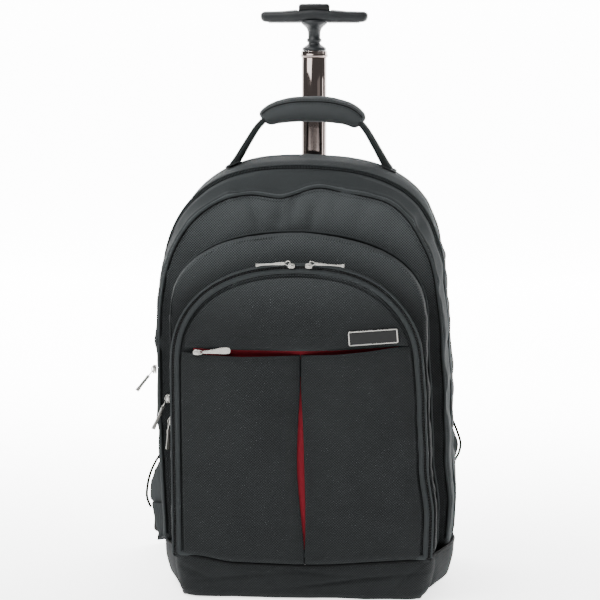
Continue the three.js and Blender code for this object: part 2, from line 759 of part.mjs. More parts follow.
const sockets = [-1, 1].flatMap((side) => {
  const across = [side * wellInner, side * wellOuter].sort((a, b) => a - b);
  const pinEnds = [side * (wellInner - EAR), side * (wellOuter + EAR / 2)].sort((a, b) => a - b);
  return [
    cylinderX(wellRadius, across[0], across[1], WHEEL.y, WHEEL.radius, 24),
    boxBetween(vec(across[0], WHEEL.y - wellRadius, 0), vec(across[1], WHEEL.y + wellRadius, WHEEL.radius)),
    cylinderX(HUB_BORE, pinEnds[0], pinEnds[1], WHEEL.y, WHEEL.radius, AXLE_SIDES),
  ];
});
const outerRadius = MID_TUBE.outer + SLIDE_GAP + OUTER_TUBE_WALL;
const middleHollow = boxBetween(
  vec(-wellInner + EAR + WHEEL_BASE.wall, baseFront + WHEEL_BASE.wall, 0),
  vec(wellInner - EAR - WHEEL_BASE.wall, WHEEL_BASE.back - WHEEL_BASE.wall, BOOT_TOP - WHEEL_BASE.wall),
);
const tubeBore = outerRadius + GAP;
const tubeSeat = cylinderZ(tubeBore, BOOT_TOP + GAP, WHEEL_BASE.top + 1, POLE_Y, TUBE_SIDES);
addMesh('wheel_base', cut(baseBlock, ...sockets, middleHollow, tubeSeat), 'black');

// Wheels: a tyre round a hub that turns on a fixed pin
function lathe(profile, sides) {
  return new THREE.LatheGeometry(profile.map(([r, h]) => new THREE.Vector2(r, h)), sides);
}
const rimRadius = WHEEL.radius - WHEEL.tyre;
[['left', -1], ['right', 1]].forEach(([label, side]) => {
  const half = WHEEL.wide / 2;
  const wheel = new THREE.Group();
  wheel.position.set(side * WHEEL.x, WHEEL.y, WHEEL.radius);
  wheel.rotation.z = Math.PI / 2;
  pack.add(wheel);
  const tread = [
    [rimRadius + GAP, -half + 1],
    [WHEEL.radius - 3, -half + 1],
    [WHEEL.radius, -half + 4],
    [WHEEL.radius, half - 4],
    [WHEEL.radius - 3, half - 1],
    [rimRadius + GAP, half - 1],
    [rimRadius + GAP, -half + 1],
  ];
  addMesh(`tyre_${label}`, lathe(tread, TYRE_SIDES), 'rubber', wheel);
  const disc = [
    [HUB_BORE, -half],
    [HUB_BORE + 4, -half],
    [HUB_BORE + 5, -half + 4],
    [rimRadius - 3, -half + 4],
    [rimRadius, -half + 1],
    [rimRadius, half - 1],
    [rimRadius - 3, half - 4],
    [HUB_BORE + 5, half - 4],
    [HUB_BORE + 4, half],
    [HUB_BORE, half],
    [HUB_BORE, -half],
  ];
  addMesh(`hub_${label}`, lathe(disc, AXLE_SIDES), 'black', wheel);
  const from = side * (wellInner - EAR + GAP);
  const to = side * (wellOuter + EAR / 2 - GAP);
  const ends = [from, to].sort((a, b) => a - b);
  addMesh(`axle_${label}`, cylinderX(AXLE_RADIUS, ...ends, WHEEL.y, WHEEL.radius, AXLE_SIDES), 'steel');
});

// Front feet under the boot
function footGeometry(side) {
  const high = BOOT_BOTTOM - GAP;
  const shape = new THREE.Shape([
    new THREE.Vector2(-FOOT.long / 2 + 5, 0),
    new THREE.Vector2(FOOT.long / 2 - 5, 0),
    new THREE.Vector2(FOOT.long / 2, high),
    new THREE.Vector2(-FOOT.long / 2, high),
  ]);
  return new THREE.ExtrudeGeometry(shape, { depth: FOOT.wide, bevelEnabled: false })
    .rotateX(Math.PI / 2)
    .translate(side * FOOT.x, FOOT.y + FOOT.wide / 2, 0);
}
addMesh('front_foot_left', footGeometry(-1), 'rubber');
addMesh('front_foot_right', footGeometry(1), 'rubber');

// Back panel: a padded tub over the pole's outer tube, with a hole for the bezel
const backShape = { ...BACK_PANEL, bottom: WHEEL_BASE.top + GAP };
const backMouth = BACK_WALL + GAP;
const backFace = backMouth + BACK_PANEL_DEPTH;
const throughWall = 5 * PADDED;
function holeThrough(radius, z) {
  return cylinderZ(radius, z - throughWall, z + throughWall, POLE_Y, TUBE_SIDES);
}
const bezelHole = holeThrough(BEZEL.neck + GAP, backShape.top);
const tubeHole = holeThrough(tubeBore, backShape.bottom);
const backTub = tub(backShape, BACK_ROWS, backMouth, backFace, PADDED);
addMesh('back_panel', cut(backTub, bezelHole, tubeHole), 'padding');

// Pole: fixed outer tube, middle tube with its collar, inner tube with the T grip
function aroundPole(profile) {
  return lathe(profile, TUBE_SIDES).rotateX(Math.PI / 2).translate(0, POLE_Y, 0);
}

function ringTube(outer, wall, from, to) {
  const inner = outer - wall;
  return aroundPole([[inner, from], [outer, from], [outer, to], [inner, to], [inner, from]]);
}
const poleFoot = BOOT_TOP + 2 * GAP;
const bezelTop = BACK_PANEL.top + BEZEL.high;
const outerTop = bezelTop - 1;
addMesh('outer_tube', ringTube(outerRadius, OUTER_TUBE_WALL, poleFoot, outerTop), 'pole');
const bezelFoot = BACK_PANEL.top - BEZEL.sunk;
addMesh('top_bezel', aroundPole([
  [tubeBore, bezelFoot],
  [BEZEL.neck, bezelFoot],
  [BEZEL.neck, BACK_PANEL.top + GAP],
  [BEZEL.flange, BACK_PANEL.top + GAP],
  [BEZEL.flange - 2, bezelTop],
  [tubeBore, bezelTop],
  [tubeBore, bezelFoot],
]), 'black');

const midTop = outerTop + POLE_RAISED;
addMesh('mid_tube', ringTube(MID_TUBE.outer, MID_TUBE.wall, midTop - MID_TUBE.length, midTop), 'pole');
const collarTop = midTop + COLLAR.lip;
const collarBore = INNER_TUBE.outer + SLIDE_GAP;
addMesh('mid_collar', aroundPole([
  [collarBore, midTop + GAP],
  [MID_TUBE.outer + GAP, midTop + GAP],
  [MID_TUBE.outer + GAP, midTop - COLLAR.high],
  [COLLAR.outer, midTop - COLLAR.high],
  [COLLAR.outer, collarTop],
  [collarBore, collarTop],
  [collarBore, midTop + GAP],
]), 'steel');

const gripFoot = collarTop + GAP;
const innerFoot = collarTop - INNER_TUBE.length;
addMesh('inner_tube', ringTube(INNER_TUBE.outer, INNER_TUBE.wall, innerFoot, collarTop), 'pole');

// T grip: a turned stem under a lofted bar, with a recess for the button
function barRing(row) {
  const low = BAR.foot + BAR.high * row.low;
  const top = BAR.foot + BAR.high * row.top;
  const deep = (BAR.deep / 2) * row.deep;
  const x = (BAR.long / 2) * row.at;
  const cutIn = Math.min(deep, (top - low) / 2) * 0.55;
  return [
    vec(x, -deep + cutIn, low),
    vec(x, deep - cutIn, low),
    vec(x, deep, low + cutIn),
    vec(x, deep, top - cutIn),
    vec(x, deep - cutIn, top),
    vec(x, -deep + cutIn, top),
    vec(x, -deep, top - cutIn),
    vec(x, -deep, low + cutIn),
  ];
}
const stemProfile = STEM.map(({ up, radius }) => [radius, up]);
const stemTop = STEM[STEM.length - 1].up;
const stem = lathe([[0, 0], ...stemProfile, [0, stemTop]], TUBE_SIDES).rotateX(Math.PI / 2);
const barTop = BAR.foot + BAR.high;
const wellHalf = vec(BUTTON.long / 2 + SLIDE_GAP, BUTTON.deep / 2 + SLIDE_GAP, 0);
const buttonSink = BUTTON.high - BUTTON.proud;
const wellFloor = barTop - buttonSink - BUTTON.travel - SLIDE_GAP;
const buttonWell = boxBetween(
  vec(-wellHalf.x, -wellHalf.y, wellFloor),
  vec(wellHalf.x, wellHalf.y, barTop + BUTTON.high),
);
const handleTop = new THREE.Group();
handleTop.position.set(0, POLE_Y, gripFoot);
pack.add(handleTop);
const gripSolid = join(stem, loft(BAR_ROWS.map(barRing)));
addMesh('t_grip', cut(gripSolid, buttonWell), 'grip', handleTop);

const buttonFoot = barTop - buttonSink;
const buttonShape = new THREE.Shape([
  new THREE.Vector2(-BUTTON.long / 2, buttonFoot),
  new THREE.Vector2(BUTTON.long / 2, buttonFoot),
  new THREE.Vector2(BUTTON.long / 2, buttonFoot + BUTTON.high - 2.5),
  new THREE.Vector2(BUTTON.long / 2 - 4, buttonFoot + BUTTON.high),
  new THREE.Vector2(-BUTTON.long / 2 + 4, buttonFoot + BUTTON.high),
  new THREE.Vector2(-BUTTON.long / 2, buttonFoot + BUTTON.high - 2.5),
]);
const buttonGeometry = new THREE.ExtrudeGeometry(buttonShape, { depth: BUTTON.deep, bevelEnabled: false })
  .rotateX(Math.PI / 2).translate(0, BUTTON.deep / 2, 0);
addMesh('button', buttonGeometry, 'black', handleTop);

// More zip pulls: the slit's, lying along the patch's slack edge, and three that hang at
// the left side
function patchEdge(x) {
  const edge = halfAt(panelShape, SLIT_HEIGHT);
  return patchFront(-1)((edge - Math.abs(x)) / (edge - pleatHalf(1)), 1).y;
}
const slitPullX = SLIT_PULL.inset - halfAt(panelShape, SLIT_HEIGHT);
const slitPullEnd = slitPullX + SLIDER.long / 2 + SLIT_PULL.long + SLIT_PULL.end;
const slitPullStart = slitPullX - SLIDER.long / 2;
const slitRise = patchEdge(slitPullEnd) - patchEdge(slitPullStart);
const slitSlope = slitRise / (slitPullEnd - slitPullStart);
const slitSamples = Array.from({ length: 13 }, (_, i) => lerp(slitPullStart, slitPullEnd, i / 12));
const slitSeats = slitSamples.map((x) => patchEdge(x) - slitSlope * (x - slitPullX));
addPull('slit', {
  ...SLIT_PULL,
  x: slitPullX,
  y: Math.min(...slitSeats) - GAP,
  z: SLIT_HEIGHT,
  angle: 0,
  turn: Math.atan(slitSlope),
});

function addSidePull(name, { shape, y, hangY, z, long, lean }) {
  const half = SLIDER.long / 2;
  const foot = Math.min(halfAt(shape, z - half), halfAt(shape, z + half));
  const seat = Math.max(halfAt(shape, z - half), halfAt(shape, z + half)) + GAP;
  const place = new THREE.Group();
  place.position.set(-seat, y, z);
  pack.add(place);
  addMesh(`${name}_slider`, boxBetween(
    vec(-SLIDER.thick, -SLIDER.wide / 2, -half),
    vec(0, SLIDER.wide / 2, half),
  ), 'steel', place);
  const hang = new THREE.Group();
  hang.position.set(foot - seat - SLIDER.thick / 2, hangY - y, -half - GAP);
  hang.rotation.y = THREE.MathUtils.degToRad(lean);
  place.add(hang);
  addMesh(`${name}_puller`, boxBetween(
    vec(-PULLER_THICK, -PULLER_WIDE / 2, -long),
    vec(0, PULLER_WIDE / 2, -PULLER_THICK),
  ), 'steel', hang);
}
const mainZipMiddle = (MAIN_MOUTH + SECOND_MOUTH) / 2;
const secondZipMiddle = SECOND_FACE - GAP - SECOND_ZIP_WIDTH / 2;
const pipingFront = SECOND_FACE - GAP - 2 * PIPING;
SIDE_PULLS.forEach(({ name, zip, z, long, lean }) => {
  const onMain = zip === 'main';
  addSidePull(name, {
    shape: onMain ? mainMouth : third,
    y: onMain ? mainZipMiddle : secondZipMiddle,
    hangY: onMain ? mainZipMiddle : pipingFront - GAP - PULLER_WIDE / 2,
    z,
    long,
    lean,
  });
});

// Carry handle: a strap sewn down at two anchors, with a padded sleeve round its middle
const handleRow = section(main, MAIN_ROWS[2]);
function topAt(x) {
  const drop = x > 0 ? main.slump * (x / main.half) : 0;
  return archAt(handleRow, x) - drop;
}
function handlePoint(side, { across, up }) {
  const foot = topAt(side * HANDLE.foot);
  return vec(side * across * HANDLE.foot, HANDLE.y, lerp(foot, HANDLE.top, up));
}
const handleCurve = new THREE.CatmullRomCurve3([
  ...HANDLE_PATH.map((row) => handlePoint(-1, row)),
  vec(0, HANDLE.y, HANDLE.top),
  ...[...HANDLE_PATH].reverse().map((row) => handlePoint(1, row)),
]);
const yAxis = vec(0, 1, 0);
const alongY = () => yAxis.clone();

// Plane of the main shell's top at one foot of the handle
function footPlane(side) {
  const x = side * HANDLE.foot;
  const slope = Math.atan2(topAt(x + 1) - topAt(x - 1), 2);
  return { x, z: topAt(x), slope };
}
function onFootPlane(side, geometry) {
  const { x, z, slope } = footPlane(side);
  return geometry.rotateY(-slope).translate(x, HANDLE.y, z);
}
const anchorSeat = 2 * GAP;
function belowAnchorTop(side) {
  const reach = ANCHOR.long * 2;
  const top = anchorSeat + ANCHOR.thick + GAP;
  return onFootPlane(side, boxBetween(vec(-reach, -reach, -reach), vec(reach, reach, top)));
}
const handleSection = strapSection(HANDLE.wide, HANDLE.thick);
const sleeveFrom = SLEEVE.from;
const sleeveTo = 1 - SLEEVE.from;
const sleeveSteps = 10;
const legSteps = 4;
function handleRings(steps, from, to) {
  return strapRings(handleCurve, steps, alongY, () => handleSection, from, to);
}
const handleStrap = loft([
  ...handleRings(legSteps, 0, sleeveFrom),
  ...handleRings(sleeveSteps, sleeveFrom, sleeveTo).slice(1),
  ...handleRings(legSteps, sleeveTo, 1).slice(1),
]);
addMesh('carry_strap', cut(handleStrap, belowAnchorTop(-1), belowAnchorTop(1)), 'tape');
[['left', -1], ['right', 1]].forEach(([label, side]) => {
  const low = vec(-ANCHOR.long / 2, -ANCHOR.wide / 2, anchorSeat);
  const high = vec(ANCHOR.long / 2, ANCHOR.wide / 2, anchorSeat + ANCHOR.thick);
  addMesh(`handle_anchor_${label}`, onFootPlane(side, boxBetween(low, high)), 'plain');
});

// The sleeve swells from its ends to its middle
function sleeveSection(t) {
  const ends = Math.min(1, SLEEVE.ends + (1 - SLEEVE.ends) * Math.sin(Math.PI * t) * 1.6);
  const w = (SLEEVE.wide / 2) * ends;
  const n = (SLEEVE.high / 2) * ends;
  return cutCorners(w, n, n * 0.55);
}
const sleeveBore = strapSection(HANDLE.wide + 2 * GAP, HANDLE.thick + 2 * GAP);
const sleeveAt = (t) => sleeveSection((t - sleeveFrom) / (sleeveTo - sleeveFrom));
function sleeveRings(shape) {
  return strapRings(handleCurve, sleeveSteps, alongY, shape, sleeveFrom, sleeveTo);
}
const sleeveOuter = sleeveRings(sleeveAt);
const sleeveInner = sleeveRings(() => sleeveBore);
addMesh('carry_grip', loft([...sleeveOuter, ...sleeveInner.reverse()], true), 'padding');

// Shoulder straps: a yoke on the back panel, and on each side a pad, a buckle, a length of
// webbing and the tab on the back wall that holds it
const yokeBack = backFace + GAP;
const yokeFoot = YOKE.z - YOKE.high / 2;
addMesh('strap_yoke', boxBetween(
  vec(-YOKE.half, yokeBack, yokeFoot),
  vec(YOKE.half, yokeBack + PAD.thick, YOKE.z + YOKE.high / 2),
), 'padding');

function flatAlong(tangent) {
  return yAxis.clone().cross(tangent);
}
[['left', -1, LEFT_PAD], ['right', 1, RIGHT_PAD]].forEach(([label, side, path]) => {
  const top = vec(side * PAD_TOP_X, yokeBack + PAD.thick / 2, yokeFoot - 2 * GAP);
  const run = path.map(({ across, out, up }) => (
    vec(across * main.half, backFace + out * PAD.out, up * YOKE.z)
  ));
  const curve = new THREE.CatmullRomCurve3([top, vec(top.x, top.y, top.z - PAD.thick), ...run]);
  const padSection = (t) => {
    const taper = Math.max((t - PAD_TAPER) / (1 - PAD_TAPER), 0);
    return strapSection(lerp(PAD.wide, PAD.end, taper), PAD.thick);
  };
  const padRings = [
    ...strapRings(curve, 12, flatAlong, padSection, 0, PAD_TAPER),
    ...strapRings(curve, 1, flatAlong, padSection, PAD_TAPER, 1).slice(1),
  ];
  addMesh(`shoulder_pad_${label}`, loft(padRings), 'padding');

  const end = curve.getPointAt(1);
  const tangent = curve.getTangentAt(1);
  const normal = tangent.clone().cross(flatAlong(tangent)).normalize();
  const across = normal.clone().cross(tangent).normalize();
  const frame = new THREE.Matrix4().makeBasis(across, normal, tangent).setPosition(end);
  const lockLow = vec(-LOCK.wide / 2, -LOCK.thick / 2, GAP);
  const lockHigh = vec(LOCK.wide / 2, LOCK.thick / 2, GAP + LOCK.high);
  const slotLow = vec(-LOCK.wide / 2 + LOCK.rim, -LOCK.thick, GAP + LOCK.rim);
  const slotHigh = vec(LOCK.wide / 2 - LOCK.rim, LOCK.thick, GAP + LOCK.high - LOCK.rim);
  const buckle = cut(boxBetween(lockLow, lockHigh), boxBetween(slotLow, slotHigh));
  addMesh(`strap_buckle_${label}`, buckle.applyMatrix4(frame), 'black');

  const tabLow = vec(side * TAB.x - TAB.wide / 2, backMouth, TAB.z - TAB.high / 2);
  const tabHigh = vec(side * TAB.x + TAB.wide / 2, backMouth + TAB.thick, TAB.z + TAB.high / 2);
  addMesh(`strap_tab_${label}`, boxBetween(tabLow, tabHigh), 'plain');

  const start = vec(side * TAB.x, backMouth + TAB.thick / 2 + GAP, tabLow.z - 2 * GAP);
  const leave = vec(start.x, start.y + WEBBING.thick, start.z - WEBBING.long);
  const arrive = end.clone().addScaledVector(tangent, LOCK.high + 3 * GAP);
  const approach = arrive.clone().addScaledVector(tangent, WEBBING.bend);
  const beside = baseSpan / 2 + WEBBING.wide / 2 + WEBBING.clear;
  const overBase = leave.clone().lerp(approach, 0.45);
  overBase.z += WEBBING.bend;
  const around = approach.z > WHEEL_BASE.top - LOCK.high ? [overBase] : [
    vec(side * beside, lerp(leave.y, approach.y, 0.25), WHEEL_BASE.top + WEBBING.clear),
    vec(side * beside, lerp(leave.y, approach.y, 0.6), WHEEL_BASE.top / 2),
  ];
  const webbing = new THREE.CatmullRomCurve3([start, leave, ...around, approach, arrive]);
  const webSection = strapSection(WEBBING.wide, WEBBING.thick);
  const webRings = strapRings(webbing, 10, () => vec(1, 0, 0), () => webSection);
  addMesh(`strap_webbing_${label}`, loft(webRings), 'tape');
});

// The origin lies on the floor under the middle of the whole bag
const middle = new THREE.Box3().setFromObject(pack, true).getCenter(vec(0, 0, 0));
pack.position.set(-middle.x, -middle.y, 0);

export default pack;
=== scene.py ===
# %% [markdown]
# # A wheeled backpack
# The bag is four stacked compartments of nylon over a boot and a wheel base, with a pull-up
# pole behind them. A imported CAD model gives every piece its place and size. This lesson
# dresses that model: each plain solid is replaced by a surface worked out with numpy, and
# each surface gets a procedural material.

# %% Load the frame
import json
import math

import bpy
import numpy as np
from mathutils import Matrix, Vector

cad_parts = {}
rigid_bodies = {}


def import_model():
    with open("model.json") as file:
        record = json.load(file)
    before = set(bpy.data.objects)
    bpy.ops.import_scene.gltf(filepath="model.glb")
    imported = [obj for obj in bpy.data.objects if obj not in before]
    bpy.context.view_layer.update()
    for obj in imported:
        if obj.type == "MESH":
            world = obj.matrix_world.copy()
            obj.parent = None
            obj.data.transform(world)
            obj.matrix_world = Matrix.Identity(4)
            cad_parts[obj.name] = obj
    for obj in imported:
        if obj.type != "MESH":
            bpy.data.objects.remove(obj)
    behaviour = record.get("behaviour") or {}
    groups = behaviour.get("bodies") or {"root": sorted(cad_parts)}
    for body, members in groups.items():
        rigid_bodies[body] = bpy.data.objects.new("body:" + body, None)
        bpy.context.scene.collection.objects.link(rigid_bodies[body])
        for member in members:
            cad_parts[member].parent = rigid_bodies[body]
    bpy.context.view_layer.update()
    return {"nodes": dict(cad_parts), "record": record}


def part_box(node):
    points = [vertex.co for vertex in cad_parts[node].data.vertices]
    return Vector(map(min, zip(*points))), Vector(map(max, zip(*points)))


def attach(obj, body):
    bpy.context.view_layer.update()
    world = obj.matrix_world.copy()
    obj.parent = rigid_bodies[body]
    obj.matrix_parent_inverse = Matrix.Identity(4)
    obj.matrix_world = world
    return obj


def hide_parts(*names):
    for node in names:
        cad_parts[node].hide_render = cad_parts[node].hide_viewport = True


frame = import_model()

# %% [markdown]
# ## Working in the bag's own millimetres
# A maker measures a bag from its middle plane: X to the right, Y to the back, Z up from the
# floor. The main compartment is symmetric and its back wall is flat, so its box in the frame
# gives both offsets. Everything below is written in those millimetres, and `to_frame` turns
# finished points into metres at the very end.

# %% Coordinates
MM = 0.001
BACK_WALL = 86
HALF = 172
SEAT = 44
shell_low, shell_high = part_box("main_shell")
ORIGIN = np.array([shell_low.x + HALF * MM, shell_high.y - BACK_WALL * MM, 0])
ALONG_X, ALONG_Y, ALONG_Z = np.eye(3)
FRONT = np.array([0.0, -1.0, 0.0])
SIDES = (("left", -1), ("right", 1))


def to_frame(points):
    return np.asarray(points, float) * MM + ORIGIN


print("middle plane at", ORIGIN.round(4))

# %% [markdown]
# ## Camera
# The photograph looks at the bag from a little to its right and a little above. Only its
# middle and the distance are needed, because a long lens flattens everything else.

# %% Camera
TURN = math.radians(4.4)
RAISE = math.radians(8)
DISTANCE = 2.425
TARGET = to_frame([0, -108, 338])
FIELD_OF_VIEW = math.radians(15.3)


def aim(obj, place, target):
    """Puts an object at a place with its -Z axis towards a target."""
    obj.location = place
    obj.rotation_euler = Vector(target - place).to_track_quat("-Z", "Y").to_euler()


back = np.array([math.sin(TURN) * math.cos(RAISE), -math.cos(TURN) * math.cos(RAISE), math.sin(RAISE)])
camera = bpy.data.objects.new("camera", bpy.data.cameras.new("camera"))
bpy.context.scene.collection.objects.link(camera)
camera.data.sensor_width = 36
camera.data.lens = camera.data.sensor_width / 2 / math.tan(FIELD_OF_VIEW / 2)
aim(camera, TARGET + back * DISTANCE, TARGET)
bpy.context.scene.camera = camera
print("lens", round(camera.data.lens, 1), "mm")

# %% [markdown]
# ## From arrays to meshes
# A surface is a grid of points. `grid_faces` numbers its squares, `make_mesh` writes the
# arrays straight into Blender, and `surface` does both. Cloth needs a UV map in real
# millimetres, so that its weave has the same size on every piece: side walls are measured
# along their outline, and faces that look forwards or backwards are measured by X and Z.

# %% Mesh helpers
def grid_faces(rows, columns, around, loop=False):
    """Squares of a grid as vertex numbers. around joins the last column to the first, loop the last row."""
    r, c = np.meshgrid(np.arange(rows if loop else rows - 1), np.arange(columns if around else columns - 1),
                       indexing="ij")
    r, c = r.ravel(), c.ravel()
    d, n = (c + 1) % columns, (r + 1) % rows
    return np.stack([r * columns + c, r * columns + d, n * columns + d, n * columns + c], 1)


def unit(v):
    return v / np.maximum(np.linalg.norm(v, axis=-1, keepdims=True), 1e-12)


def lengths_along(points, axis):
    """Distance travelled along one axis of a grid of points, starting at zero."""
    steps = np.linalg.norm(np.diff(points, axis=axis), axis=-1)
    start = np.zeros_like(np.take(steps, [0], axis=axis))
    return np.concatenate([start, np.cumsum(steps, axis=axis)], axis=axis)


def make_mesh(name, verts, faces, uvs=None, smooth=True):
    """A mesh object from vertices in millimetres and a list of face arrays, each with its corners' UVs."""
    mesh = bpy.data.meshes.new(name)
    verts = to_frame(verts)
    corners = np.concatenate([np.asarray(f).ravel() for f in faces]).astype(np.int32)
    sizes = np.concatenate([np.full(len(f), len(f[0])) for f in faces]).astype(np.int32)
    mesh.vertices.add(len(verts))
    mesh.vertices.foreach_set("co", verts.astype(np.float32).ravel())
    mesh.loops.add(len(corners))
    mesh.loops.foreach_set("vertex_index", corners)
    mesh.polygons.add(len(sizes))
    mesh.polygons.foreach_set("loop_start", np.concatenate([[0], np.cumsum(sizes)[:-1]]).astype(np.int32))
    mesh.polygons.foreach_set("use_smooth", np.full(len(sizes), smooth))
    if uvs is not None:
        layer = mesh.uv_layers.new(name="cloth")
        corner_uvs = np.concatenate([u.reshape(-1, 2) for u in uvs])
        layer.data.foreach_set("uv", corner_uvs.astype(np.float32).ravel())
    mesh.update(calc_edges=True)
    mesh.validate()
    obj = bpy.data.objects.new(name, mesh)
    bpy.context.scene.collection.objects.link(obj)
    return obj


def face_normals(verts, quads):
    """Area-weighted normal of each square: half the cross product of its diagonals."""
    return np.cross(verts[quads[:, 2]] - verts[quads[:, 0]], verts[quads[:, 3]] - verts[quads[:, 1]]) / 2


def surface(name, points, around=False, caps=False, inside=None, flat=False, smooth=True):
    """A grid of points (rows, columns, 3) as one mesh with its faces turned away from a point inside.
    caps closes the first and last row. flat maps all of it by X and Z."""
    rows, columns, _ = points.shape
    verts = points.reshape(-1, 3)
    quads = grid_faces(rows, columns, around)
    closed = np.concatenate([points, points[:, :1]], 1) if around else points
    s, t = lengths_along(closed, 1), lengths_along(closed, 0)
    s = s - s.mean(1, keepdims=True)
    st = np.stack([s, t], -1)
    uv = np.stack([st[:-1, :-1], st[:-1, 1:], st[1:, 1:], st[1:, :-1]], 2).reshape(-1, 4, 2)
    normals = face_normals(verts, quads)
    forward = flat | (np.abs(unit(normals)[:, 1]) > 0.72)
    uv = np.where(forward[:, None, None], verts[quads][:, :, [0, 2]], uv)
    middle = verts.mean(0) if inside is None else np.asarray(inside, float)
    outward = (normals * (verts[quads].mean(1) - middle)).sum() > 0
    faces, uvs = [quads], [uv]
    if caps:
        ends = [np.arange(columns)[::-1], (rows - 1) * columns + np.arange(columns)]
        faces += [e[None] for e in ends]
        uvs += [verts[e][None][:, :, [0, 2]] for e in ends]
    if not outward:
        faces = [f[:, ::-1] for f in faces]
        uvs = [u[:, ::-1] for u in uvs]
    return make_mesh(name, verts, faces, uvs, smooth)


def grid_normals(points, around=False):
    """Unit normal at each point of a grid, from the differences to its neighbours."""
    if around:
        wide = np.concatenate([points[:, -1:], points, points[:, :1]], 1)
        across = wide[:, 2:] - wide[:, :-2]
    else:
        across = np.gradient(points, axis=1)
    return unit(np.cross(across, np.gradient(points, axis=0)))


def solid(points, around=True, caps=True, loop=False):
    """A closed grid of points as (vertices, faces, UVs), with its faces turned outwards: the sign of its
    volume, a sum over its squares of middle . normal / 3, says whether they must be flipped."""
    rows, columns, _ = points.shape
    verts = points.reshape(-1, 3)
    quads = grid_faces(rows, columns, around, loop)
    faces = [quads]
    if caps and not loop:
        faces += [np.arange(columns)[::-1][None], ((rows - 1) * columns + np.arange(columns))[None]]
    s = lengths_along(np.concatenate([points, points[:, :1]], 1), 1)
    t = lengths_along(np.concatenate([points, points[:1]], 0), 0)
    r, c = quads[:, 0] // columns, quads[:, 0] % columns
    corners = ((r, c), (r, c + 1), (r + 1, c + 1), (r + 1, c))
    s_at = [s[i % rows, j] for i, j in corners]
    t_at = [t[i, j % columns] for i, j in corners]
    uvs = [np.stack([np.stack(s_at, 1), np.stack(t_at, 1)], -1)]
    uvs += [verts[f[0]][None][:, :, [0, 2]] for f in faces[1:]]
    middle = verts.mean(0)
    volume = ((verts[quads].mean(1) - middle) * face_normals(verts, quads)).sum()
    if volume < 0:
        faces = [f[:, ::-1] for f in faces]
        uvs = [u[:, ::-1] for u in uvs]
    return verts, faces, uvs


def joined(name, forms, smooth=True):
    """Several forms as one mesh."""
    verts, faces, uvs, start = [], [], [], 0
    for v, f, u in forms:
        verts.append(v)
        faces += [part + start for part in f]
        uvs += u
        start += len(v)
    return make_mesh(name, np.concatenate(verts), faces, uvs, smooth)


def subdivide(obj, levels=1):
    modifier = obj.modifiers.new("smooth", "SUBSURF")
    modifier.levels = modifier.render_levels = levels
    return obj


def thicken(obj, wall, offset=-1):
    """Gives a single skin its real wall, inwards from the modelled face."""
    modifier = obj.modifiers.new("wall", "SOLIDIFY")
    modifier.thickness = wall * MM
    modifier.offset = offset
    return obj


print("mesh helpers ready")

# %% [markdown]
# ## Curves, sweeps and noise
# A strap, a cord or a tube is a section carried along a path. Cloth is never quite even, so a
# smooth noise moves its points a little: random numbers sit on a lattice, and each point takes
# the smooth mix of the eight around it.

# %% Curves, sweeps and noise
def even(points, count, closed=False):
    """The same polyline with count points at equal distances."""
    points = np.asarray(points, float)
    if closed:
        points = np.concatenate([points, points[:1]])
    reach = lengths_along(points, 0)
    where = np.linspace(0, reach[-1], count, endpoint=not closed)
    return np.stack([np.interp(where, reach, points[:, k]) for k in range(points.shape[1])], 1)


def spline(points, count):
    """A smooth curve through points (Catmull-Rom: each span is a cubic whose end slopes are half the
    step between its neighbours), with count points at equal distances."""
    p = np.asarray(points, float)
    p = np.concatenate([[2 * p[0] - p[1]], p, [2 * p[-1] - p[-2]]])
    t = np.linspace(0, 1, 24)[:, None, None]
    a, b, c, d = p[:-3], p[1:-2], p[2:-1], p[3:]
    spans = b + t / 2 * (c - a) + t**2 * (a - 2.5 * b + 2 * c - d / 2) + t**3 * (1.5 * (b - c) + (d - a) / 2)
    return even(spans.transpose(1, 0, 2).reshape(-1, p.shape[1]), count)


def smooth_table(rows, at):
    """Columns of a table at new places: straight lines between its rows, rounded by a moving average."""
    rows = np.asarray(rows, float)
    fine = np.linspace(rows[0, 0], rows[-1, 0], 400)
    width = 31
    window = np.hanning(width) / np.hanning(width).sum()
    columns = []
    for k in range(1, rows.shape[1]):
        line = np.interp(fine, rows[:, 0], rows[:, k])
        padded_line = np.pad(line, width // 2, mode="reflect", reflect_type="odd")
        columns.append(np.interp(at, fine, np.convolve(padded_line, window, "valid")))
    return columns


def from_rows(rows, at):
    """A smooth function given by a short table of two columns."""
    (value,) = smooth_table(rows, at)
    return value


def frames(path, side, closed=False):
    """Tangent, across and outward directions along a path, with across kept near a given side."""
    if closed:
        tangent = unit(np.roll(path, -1, 0) - np.roll(path, 1, 0))
    else:
        tangent = unit(np.gradient(path, axis=0))
    side = np.broadcast_to(np.asarray(side, float), path.shape)
    across = unit(side - (side * tangent).sum(1, keepdims=True) * tangent)
    return tangent, across, np.cross(tangent, across)


def sweep(path, section, side, closed=False):
    """Grid of points of a section (k, 2), or one section per step (n, k, 2), carried along a path.
    The section's first axis lies across and its second outward."""
    _, across, out = frames(path, side, closed)
    section = np.broadcast_to(section, (len(path), *np.shape(section)[-2:]))
    return path[:, None] + section[..., :1] * across[:, None] + section[..., 1:] * out[:, None]


def ellipse(wide, high, sides=16, power=2):
    """A closed section: a superellipse, round at power 2 and squarer above it."""
    turn = np.linspace(0, 2 * math.pi, sides, endpoint=False)
    c, s = np.cos(turn), np.sin(turn)
    reach = (np.abs(c) ** power + np.abs(s) ** power) ** (-1 / power)
    return np.stack([wide / 2 * c * reach, high / 2 * s * reach], 1)


LATTICE = np.random.RandomState(7).uniform(-1, 1, (32, 32, 32))


